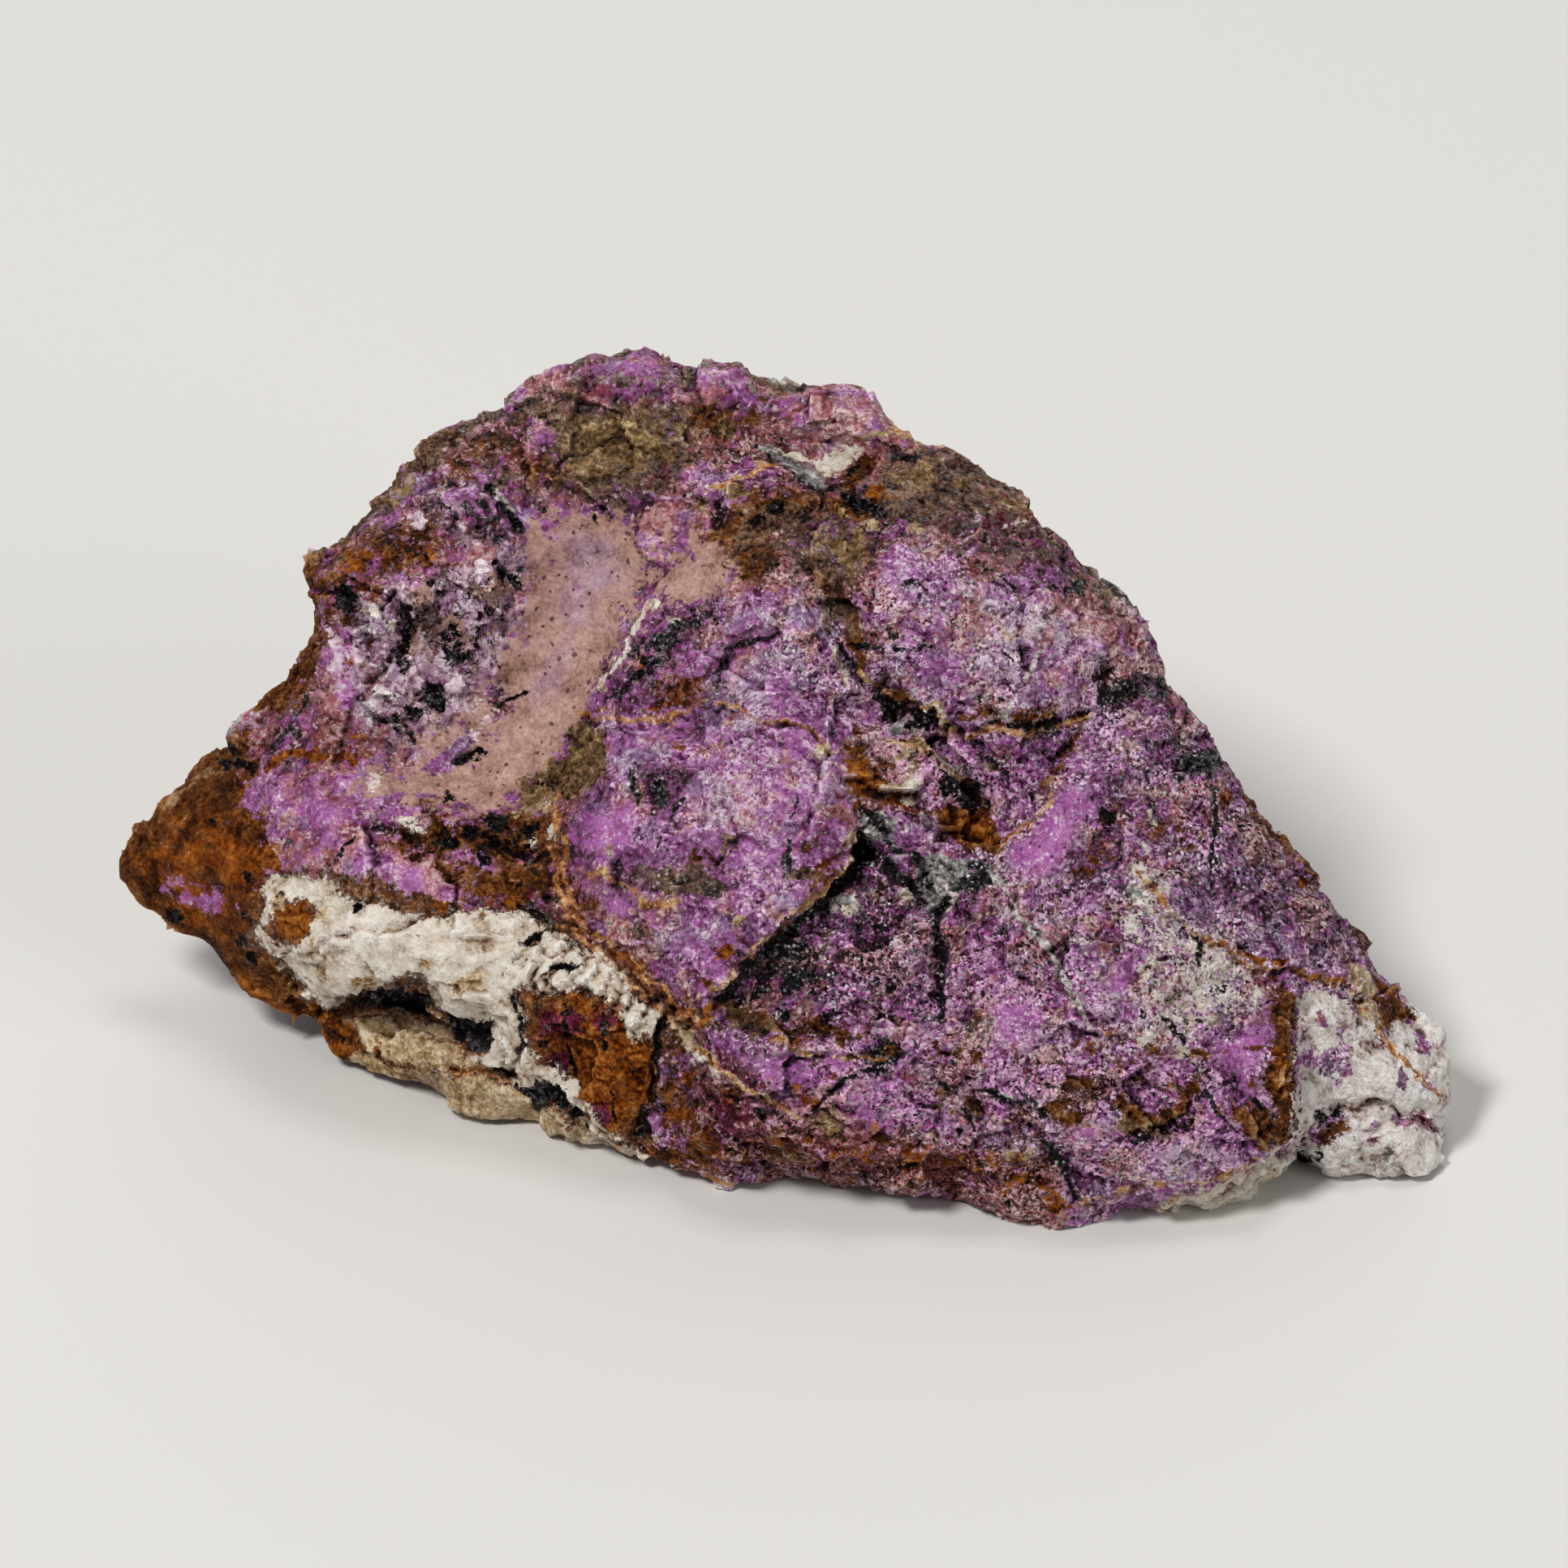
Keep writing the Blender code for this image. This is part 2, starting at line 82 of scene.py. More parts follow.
def readPoints(piece):
    points = np.empty(len(piece.data.vertices) * 3)
    piece.data.vertices.foreach_get("co", points)
    return points.reshape(-1, 3) * 1000.0  # millimetres


def readNormals(piece):
    normals = np.empty(len(piece.data.vertices) * 3)
    piece.data.vertices.foreach_get("normal", normals)
    return normals.reshape(-1, 3)


def writePoints(piece, points):
    piece.data.vertices.foreach_set("co", (points / 1000.0).ravel())
    piece.data.update()


def smoothStep(value, low, high):
    part = np.clip((value - low) / (high - low), 0.0, 1.0)
    return part * part * (3.0 - 2.0 * part)


# Soft random hills from a lattice of random numbers, -0.5 to 0.5. The size is in millimetres.
def hills(points, size, seed, octaves=3):
    lattice = np.random.default_rng(seed).random((latticeSize,) * 3)
    total, weight = np.zeros(len(points)), 0.0
    for octave in range(octaves):
        place = points / size * 2.0 ** octave + 7.3 * octave
        cell = np.floor(place).astype(int)
        part = place - cell
        part = part * part * (3.0 - 2.0 * part)
        for corner in np.ndindex(2, 2, 2):
            index = (cell + corner) % latticeSize
            share = np.prod(np.where(corner, part, 1.0 - part), axis=1)
            total += 0.5 ** octave * share * lattice[index[:, 0], index[:, 1], index[:, 2]]
        weight += 0.5 ** octave
    return total / weight - 0.5


# Broken cleavage faces: each point takes the tilt of the nearest random seed.
def cleavage(points, size, stretch, slope, step, seed):
    rng = np.random.default_rng(seed)
    seeds = rng.random((latticeSize,) * 3 + (3,))
    tilts = rng.normal(size=(latticeSize,) * 3 + (3,))
    steps = rng.random((latticeSize,) * 3) - 0.5
    place = points / (size * np.array(stretch))
    cell = np.floor(place).astype(int)
    best = np.full(len(points), far)
    rise = np.zeros(len(points))
    for corner in np.ndindex(3, 3, 3):
        near = cell + np.array(corner) - 1
        index = near % latticeSize
        away = place - near - seeds[index[:, 0], index[:, 1], index[:, 2]]
        distance = (away ** 2).sum(1)
        closer = distance < best
        best[closer] = distance[closer]
        picked = index[closer, 0], index[closer, 1], index[closer, 2]
        lean = (away[closer] * tilts[picked]).sum(1) * size * slope
        most = size * rock["steepest"]
        rise[closer] = np.clip(lean, -most, most) + steps[picked] * step
    return rise


# Distance to a line of points, and on which side of it a place is: above is to the left of its run.
def lineDistance(places, spots):
    best = np.full(len(places), far)
    side = np.zeros(len(places))
    for start, end in zip(spots[:-1], spots[1:]):
        run = end - start
        along = np.clip(((places - start) @ run) / (run @ run), 0.0, 1.0)
        away = places - start - along[:, None] * run
        distance = np.sqrt((away ** 2).sum(1))
        closer = distance < best
        best[closer] = distance[closer]
        if len(run) == 2:
            left = np.array((run[1], -run[0]))
            side[closer] = np.sign((places[closer] - start) @ left)
    return best, side


def areaDistance(places, spots):
    ring = np.vstack((spots, spots[:1]))
    away, _side = lineDistance(places, ring)
    inside = np.zeros(len(places), bool)
    for (x0, y0), (x1, y1) in zip(ring[:-1], ring[1:]):
        if y0 == y1:
            continue
        crosses = (places[:, 1] < y0) != (places[:, 1] < y1)
        reach = x0 + (places[:, 1] - y0) * (x1 - x0) / (y1 - y0)
        inside ^= crosses & (places[:, 0] < reach)
    return np.where(inside, -away, away)


# A stroke of paint or of form: its kind, its size, its strength and its places.
def area(size, strength, *spots):
    return "area", size, strength, spots


def line(size, strength, *spots):
    return "line", size, strength, spots


def dabs(size, strength, *spots):
    return "dabs", size, strength, spots


# How strongly one stroke covers each place, 0 to 1, and 0.5 at the edge of an area.
def strokeCover(places, kind, size, spots):
    spots = np.array(spots, float)
    cover = np.zeros(len(places))
    margin = size * 2.2
    near = ((places > spots.min(0) - margin) & (places < spots.max(0) + margin)).all(1)
    close = places[near]
    if kind == "area":
        cover[near] = np.clip(0.5 - areaDistance(close, spots) / (3.0 * size), 0.0, 1.0)
    elif kind == "line":
        cover[near] = np.clip(1.0 - lineDistance(close, spots)[0] / size, 0.0, 1.0)
    else:
        away = np.sqrt(((close[:, None] - spots[None]) ** 2).sum(2)).min(1)
        cover[near] = np.clip(1.0 - away / (2.0 * size), 0.0, 1.0)
    return cover


# The surface: sizes in millimetres, strokes in pixels of the frame.
rock = {
    "voxel": 0.22,
    "triangles": 192000,
    "frontKept": 0.9,  # how much of the thinning the main face is spared
    "skinVoxelSmooths": 14,
    "edgeSmooths": 3,
    "cleavages": [  # cell size, stretch along x y z, slope, step, seed
        (4.2, (1.0, 1.3, 0.9), 0.08, 0.03, 3),
        (1.8, (1.4, 1.0, 0.8), 0.10, 0.05, 5),
        (0.7, (1.2, 1.0, 0.8), 0.12, 0.07, 8),
    ],
    "backBlocks": (5.0, (1.0, 1.0, 1.4), 0.16, 0.60, 17),
    "backSink": 0.35,  # the blocks of the back lie this much deeper
    "bowlChips": (1.3, (1.0, 1.0, 1.5), 0.16, 0.42, 29),
    "grooveShake": (1.4, 77),  # size and seed of what makes the grooves uneven
    "grooveUneven": (0.8, 2.2, 0.15, 1.3),  # middle, spread, least and most, in parts of their width
    "grainSize": 0.28,
    "grainHeight": 0.09,
    "lumpSize": 1.3,
    "lumpHeight": 0.08,
    "steepest": 0.16,  # how far a cleavage face may rise, in parts of its size
    "baseHeight": 0.12,  # below this it is the flat base, which stays flat
    "skinCalm": 0.9,  # how much of the breakage the smooth skin loses
    "sharpAngle": 38.0,
    "boxMargin": 0.35,  # where forms near the CAD box start to be eased into it
}

grooves = [  # width, depth in millimetres, line
    (13, 0.8, [(880, 1238), (930, 1180), (970, 1145), (1005, 1118), (1040, 1080), (1062, 1048)]),
    (15, 0.7, [(1062, 1036), (1068, 1052)]),
    (11, 0.8, [(1152, 1125), (1158, 1160), (1156, 1200), (1153, 1255)]),
    (12, 0.5, [(1055, 1045), (1090, 1070), (1120, 1095), (1140, 1125)]),
    (18, 0.6, [(1035, 822), (1080, 842), (1110, 872), (1145, 895), (1165, 930), (1205, 1002)]),
    (15, 0.7, [(1090, 850), (1104, 868)]),
    (14, 0.7, [(1128, 884), (1142, 894)]),
    (18, 0.7, [(1160, 958), (1195, 995)]),
    (6, 0.5, [(640, 1222), (641, 1300)]),
    (11, 0.8, [(815, 1288), (810, 1335), (790, 1400)]),
    (9, 0.35, [(720, 888), (770, 893), (840, 890), (880, 878), (930, 890), (1000, 905), (1030, 925)]),
    (14, 1.1, [(402, 1244), (445, 1233), (485, 1226), (536, 1236)]),
    (16, 0.8, [(556, 1262), (578, 1272), (602, 1262)]),
    (11, 0.8, [(605, 1322), (650, 1342), (690, 1346), (715, 1382)]),
    (10, 0.5, [(392, 1168), (425, 1153), (470, 1141), (515, 1124)]),
    (10, 0.6, [(650, 1160), (668, 1148)]),
    (8, 0.6, [(808, 1278), (832, 1252)]),
    (9, 0.5, [(1085, 1048), (1110, 1075)]),
    (7, 0.5, [(565, 936), (592, 928)]),
    (12, 0.5, [(485, 760), (498, 800), (492, 826)]),
    (12, 0.4, [(545, 790), (580, 812), (565, 830)]),
    (10, 0.4, [(605, 700), (640, 728)]),
    (9, 0.5, [(955, 785), (925, 793), (898, 808), (882, 835), (874, 855)]),
    (13, 0.6, [(598, 598), (622, 625), (642, 655)]),
    (12, 0.6, [(1100, 568), (1125, 562), (1142, 553)]),
    (6, 0.3, [(1497, 970), (1495, 1040), (1488, 1105)]),
    (11, 0.5, [(1000, 1357), (1025, 1335), (1060, 1312), (1100, 1298), (1106, 1262)]),
    (14, 0.7, [(1280, 1400), (1305, 1437), (1328, 1472)]),
    (10, 0.5, [(1590, 1392), (1640, 1360), (1700, 1363), (1770, 1394)]),
    (9, 0.4, [(650, 1110), (690, 1150), (760, 1190), (830, 1245), (870, 1285)]),
    (16, 0.5, [(1340, 815), (1380, 828), (1440, 842)]),
    (12, 0.5, [(1452, 945), (1505, 945)]),
    (8, 0.25, [(788, 945), (778, 985)]),
    (8, 0.2, [(812, 965), (806, 990)]),
    (10, 0.5, [(740, 860), (765, 825), (785, 785), (815, 760)]),
    (9, 0.4, [(1160, 905), (1230, 896), (1300, 893), (1338, 878)]),
    (8, 0.2, [(1165, 1325), (1215, 1345), (1262, 1362)]),
    (10, 0.45, [(560, 1310), (610, 1322), (650, 1328)]),
]

ledges = [  # fall, height in millimetres, line: the side above it stands proud
    (26, 0.45, [(1440, 1130), (1500, 1165), (1530, 1185), (1600, 1200), (1650, 1215)]),
    (30, 0.40, [(880, 1240), (940, 1172), (1000, 1112), (1050, 1045)]),
    (16, 0.30, [(640, 1222), (700, 1218), (745, 1228), (800, 1285)]),
    (18, 0.30, [(1120, 1345), (1180, 1368), (1260, 1385)]),
    (18, 0.35, [(1375, 1398), (1440, 1385), (1500, 1330)]),
    (20, 0.35, [(1560, 1400), (1590, 1300), (1592, 1220)]),
    (18, 0.30, [(1060, 830), (1110, 865), (1160, 905)]),
    (16, 0.30, [(985, 1290), (1055, 1300), (1100, 1290)]),
    (14, 0.30, [(830, 1240), (862, 1292), (905, 1328), (940, 1347)]),
    (16, 0.45, [(330, 1172), (362, 1198), (385, 1228), (408, 1240), (445, 1227), (490, 1208), (528, 1214),
                (548, 1248), (578, 1257), (606, 1250)]),
    (14, 0.25, [(1598, 1392), (1640, 1362), (1690, 1362), (1730, 1374), (1775, 1400)]),
    (16, 0.12, [(1230, 1090), (1262, 1135), (1290, 1175), (1335, 1255)]),
    (14, 0.25, [(690, 1110), (760, 1175), (820, 1235)]),
    (18, 0.30, [(1390, 1095), (1420, 1080), (1480, 1040), (1500, 1000)]),
]

staircase = {
    "area": [(640, 1150), (700, 1150), (760, 1185), (845, 1250), (830, 1290), (770, 1262), (700, 1225),
             (645, 1222)],
    "feather": 12,
    "run": (0.86, 0.51),
    "period": 21.0,
    "height": 0.42,
}

smoothSkin = [  # the places with little grain
    area(14, 1.0, (662, 640), (740, 632), (795, 665), (790, 735), (765, 775), (745, 825), (722, 885),
         (705, 925), (655, 968), (600, 1000), (530, 990), (450, 980), (445, 960), (530, 950), (600, 900),
         (640, 850), (620, 820), (645, 750)),
    area(10, 0.8, (850, 660), (905, 650), (912, 680), (885, 722), (840, 740), (812, 720)),
    area(12, 0.8, (1320, 965), (1345, 1000), (1310, 1060), (1290, 1088), (1250, 1080), (1232, 1050),
         (1282, 1000)),
    area(20, 0.85, (140, 1060), (175, 1000), (240, 950), (300, 950), (310, 1020), (320, 1100), (310, 1200),
         (400, 1270), (380, 1290), (250, 1230), (160, 1140)),
    area(12, 0.6, (345, 1090), (470, 1100), (600, 1120), (660, 1150), (600, 1240), (500, 1195), (400, 1225),
         (330, 1150)),
    area(10, 0.6, (490, 1300), (600, 1310), (660, 1370), (620, 1392), (560, 1390), (520, 1340)),
    area(14, 0.5, (1600, 1230), (1680, 1240), (1760, 1250), (1790, 1330), (1760, 1440), (1640, 1440),
         (1595, 1380)),
    dabs(30, 0.5, (400, 1000), (510, 1080), (860, 1150), (740, 1020), (1250, 1255)),
]

rugged = [  # where the surface is broken deeper
    area(40, 0.6, (860, 1300), (1120, 1240), (1480, 1290), (1600, 1430), (1300, 1500), (900, 1460)),
    area(40, 0.9, (1040, 860), (1240, 880), (1330, 900), (1280, 1000), (1180, 1040), (1060, 1040)),
    area(40, 0.4, (920, 1240), (1060, 1060), (1330, 1100), (1420, 1300), (1100, 1300)),
]

bowlChips = [  # upright chips with gaps between them
    area(22, 0.85, (425, 750), (470, 705), (560, 690), (640, 690), (645, 770), (610, 850), (560, 905),
         (480, 930), (430, 880)),
    area(16, 0.6, (540, 610), (600, 600), (640, 650), (610, 690), (550, 680)),
]


# Strokes one over the other. One with a strength below zero takes the paint away again.
def coverOf(places, strokes):
    cover = np.zeros(len(places))
    for kind, size, strength, spots in strokes:
        stroke = strength * strokeCover(places, kind, size, spots)
        cover = np.maximum(cover, stroke) if strength > 0.0 else np.minimum(cover, 1.0 + stroke)
    return cover


# Where each point of the stone lies in the frame, a little shaken, so that no stroke has a ruled edge.
def seenPlaces(points):
    up = points @ viewUp - footUp
    places = np.column_stack((look["middle"] + points[:, 0] / look["pixel"],
                              look["footRow"] - up / look["pixel"]))
    for axis, firstSeed in ((0, 21), (1, 22)):
        places[:, axis] += sum(
            pixels * hills(points, size, firstSeed + seed, octaves)
            for pixels, size, seed, octaves in look["shakes"])
    return places


def frontShare(normals):
    return smoothStep(normals @ viewBack, *look["frontFrom"])


def setGroup(piece, name, weights):
    group = piece.vertex_groups.new(name=name)
    steps = np.round(weights * 10).astype(int)
    for step in range(1, 11):
        group.add(np.nonzero(steps == step)[0].tolist(), step / 10.0, "REPLACE")


def applyModifiers(piece):
    pick(piece)
    for modifier in list(piece.modifiers):
        bpy.ops.object.modifier_apply(modifier=modifier.name)


def addRelief(piece, name, kind, size, height, group):
    texture = bpy.data.textures.new(name, kind)
    texture.noise_scale = size * 0.001
    relief = piece.modifiers.new(name, "DISPLACE")
    relief.texture = texture
    relief.texture_coords = "LOCAL"
    relief.strength = height * 0.001
    relief.mid_level = 0.5
    relief.vertex_group = group


def makeStone():
    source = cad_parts["purpurite_stone"]
    pick(source)
    bpy.ops.object.duplicate()
    stone = bpy.context.object
    stone.name = "purpuriteRock"
    stone.parent = None
    for key in list(stone.keys()):
        del stone[key]
    bpy.ops.object.mode_set(mode="EDIT")
    bpy.ops.mesh.select_all(action="SELECT")
    bpy.ops.mesh.remove_doubles(threshold=1e-6)
    bpy.ops.object.mode_set(mode="OBJECT")
    remesh = stone.modifiers.new("even mesh", "REMESH")
    remesh.mode = "VOXEL"
    remesh.voxel_size = rock["voxel"] * 0.001
    applyModifiers(stone)
    print("even mesh", len(stone.data.polygons))

    points = readPoints(stone)
    front = frontShare(readNormals(stone))
    skin = coverOf(seenPlaces(points), smoothSkin) * front
    onBase = (points[:, 2] < rock["baseHeight"]).astype(float)
    rough = (1.0 - rock["skinCalm"] * skin) * (1.0 - onBase)
    setGroup(stone, "skin", skin)
    setGroup(stone, "rough", rough)
    setGroup(stone, "plain", 1.0 - rock["frontKept"] * front)
    ease = stone.modifiers.new("ease facets", "SMOOTH")
    ease.factor = 0.5
    ease.iterations = rock["edgeSmooths"]
    soften = stone.modifiers.new("soften skin", "SMOOTH")
    soften.factor = 0.5
    soften.iterations = rock["skinVoxelSmooths"]
    soften.vertex_group = "skin"
    applyModifiers(stone)

    points = readPoints(stone)
    normals = readNormals(stone)
    places = seenPlaces(points)
    shift = np.zeros(len(points))
    broken = rough * (1.0 + coverOf(places, rugged) * front)
    for cell in rock["cleavages"]:
        shift += cleavage(points, *cell) * broken
    shift += (cleavage(points, *rock["backBlocks"]) - rock["backSink"]) * rough * (1.0 - front)
    clear = front * (1.0 - onBase)
    shift += cleavage(points, *rock["bowlChips"]) * coverOf(places, bowlChips) * clear
    middle, spread, least, most = rock["grooveUneven"]
    uneven = np.clip(middle + spread * hills(points, *rock["grooveShake"]), least, most)
    for width, depth, spots in grooves:
        away = lineDistance(places, np.array(spots, float))[0]
        shift -= depth * uneven * np.clip(1.0 - away / (width * uneven), 0.0, 1.0) * clear
    for fall, height, spots in ledges:
        away, side = lineDistance(places, np.array(spots, float))
        shift += height * side * np.exp(-away / fall) * clear * 0.5
    steps = strokeCover(places, "area", staircase["feather"], staircase["area"])
    along = (places @ np.array(staircase["run"])) / staircase["period"]
    shift += staircase["height"] * (along - np.floor(along) - 0.5) * steps * clear
    writePoints(stone, points + normals * shift[:, None])

    addRelief(stone, "lumps", "CLOUDS", rock["lumpSize"], rock["lumpHeight"], "rough")
    addRelief(stone, "grain", "CLOUDS", rock["grainSize"], rock["grainHeight"], "rough")
    thin = stone.modifiers.new("thin", "DECIMATE")
    thin.ratio = min(1.0, rock["triangles"] / (2.0 * len(stone.data.polygons)))
    thin.vertex_group = "plain"  # the back is thinned more than the main face
    applyModifiers(stone)

    points = readPoints(stone)
    low, high = np.array(cadLow) * 1000.0, np.array(cadHigh) * 1000.0
    margin = rock["boxMargin"]
    inner = np.clip(points, low + margin * np.array((1.0, 1.0, 0.0)), high - margin)
    over = points - inner
    eased = np.sign(over) * margin * (1.0 - np.exp(-np.abs(over) / margin))
    eased[points[:, 2] < low[2], 2] = 0.0  # the base stays flat
    writePoints(stone, inner + eased)
    stone.vertex_groups.clear()
    pick(stone)
    bpy.ops.object.shade_smooth_by_angle(angle=math.radians(rock["sharpAngle"]))
    print("stone", len(stone.data.polygons))
    return stone


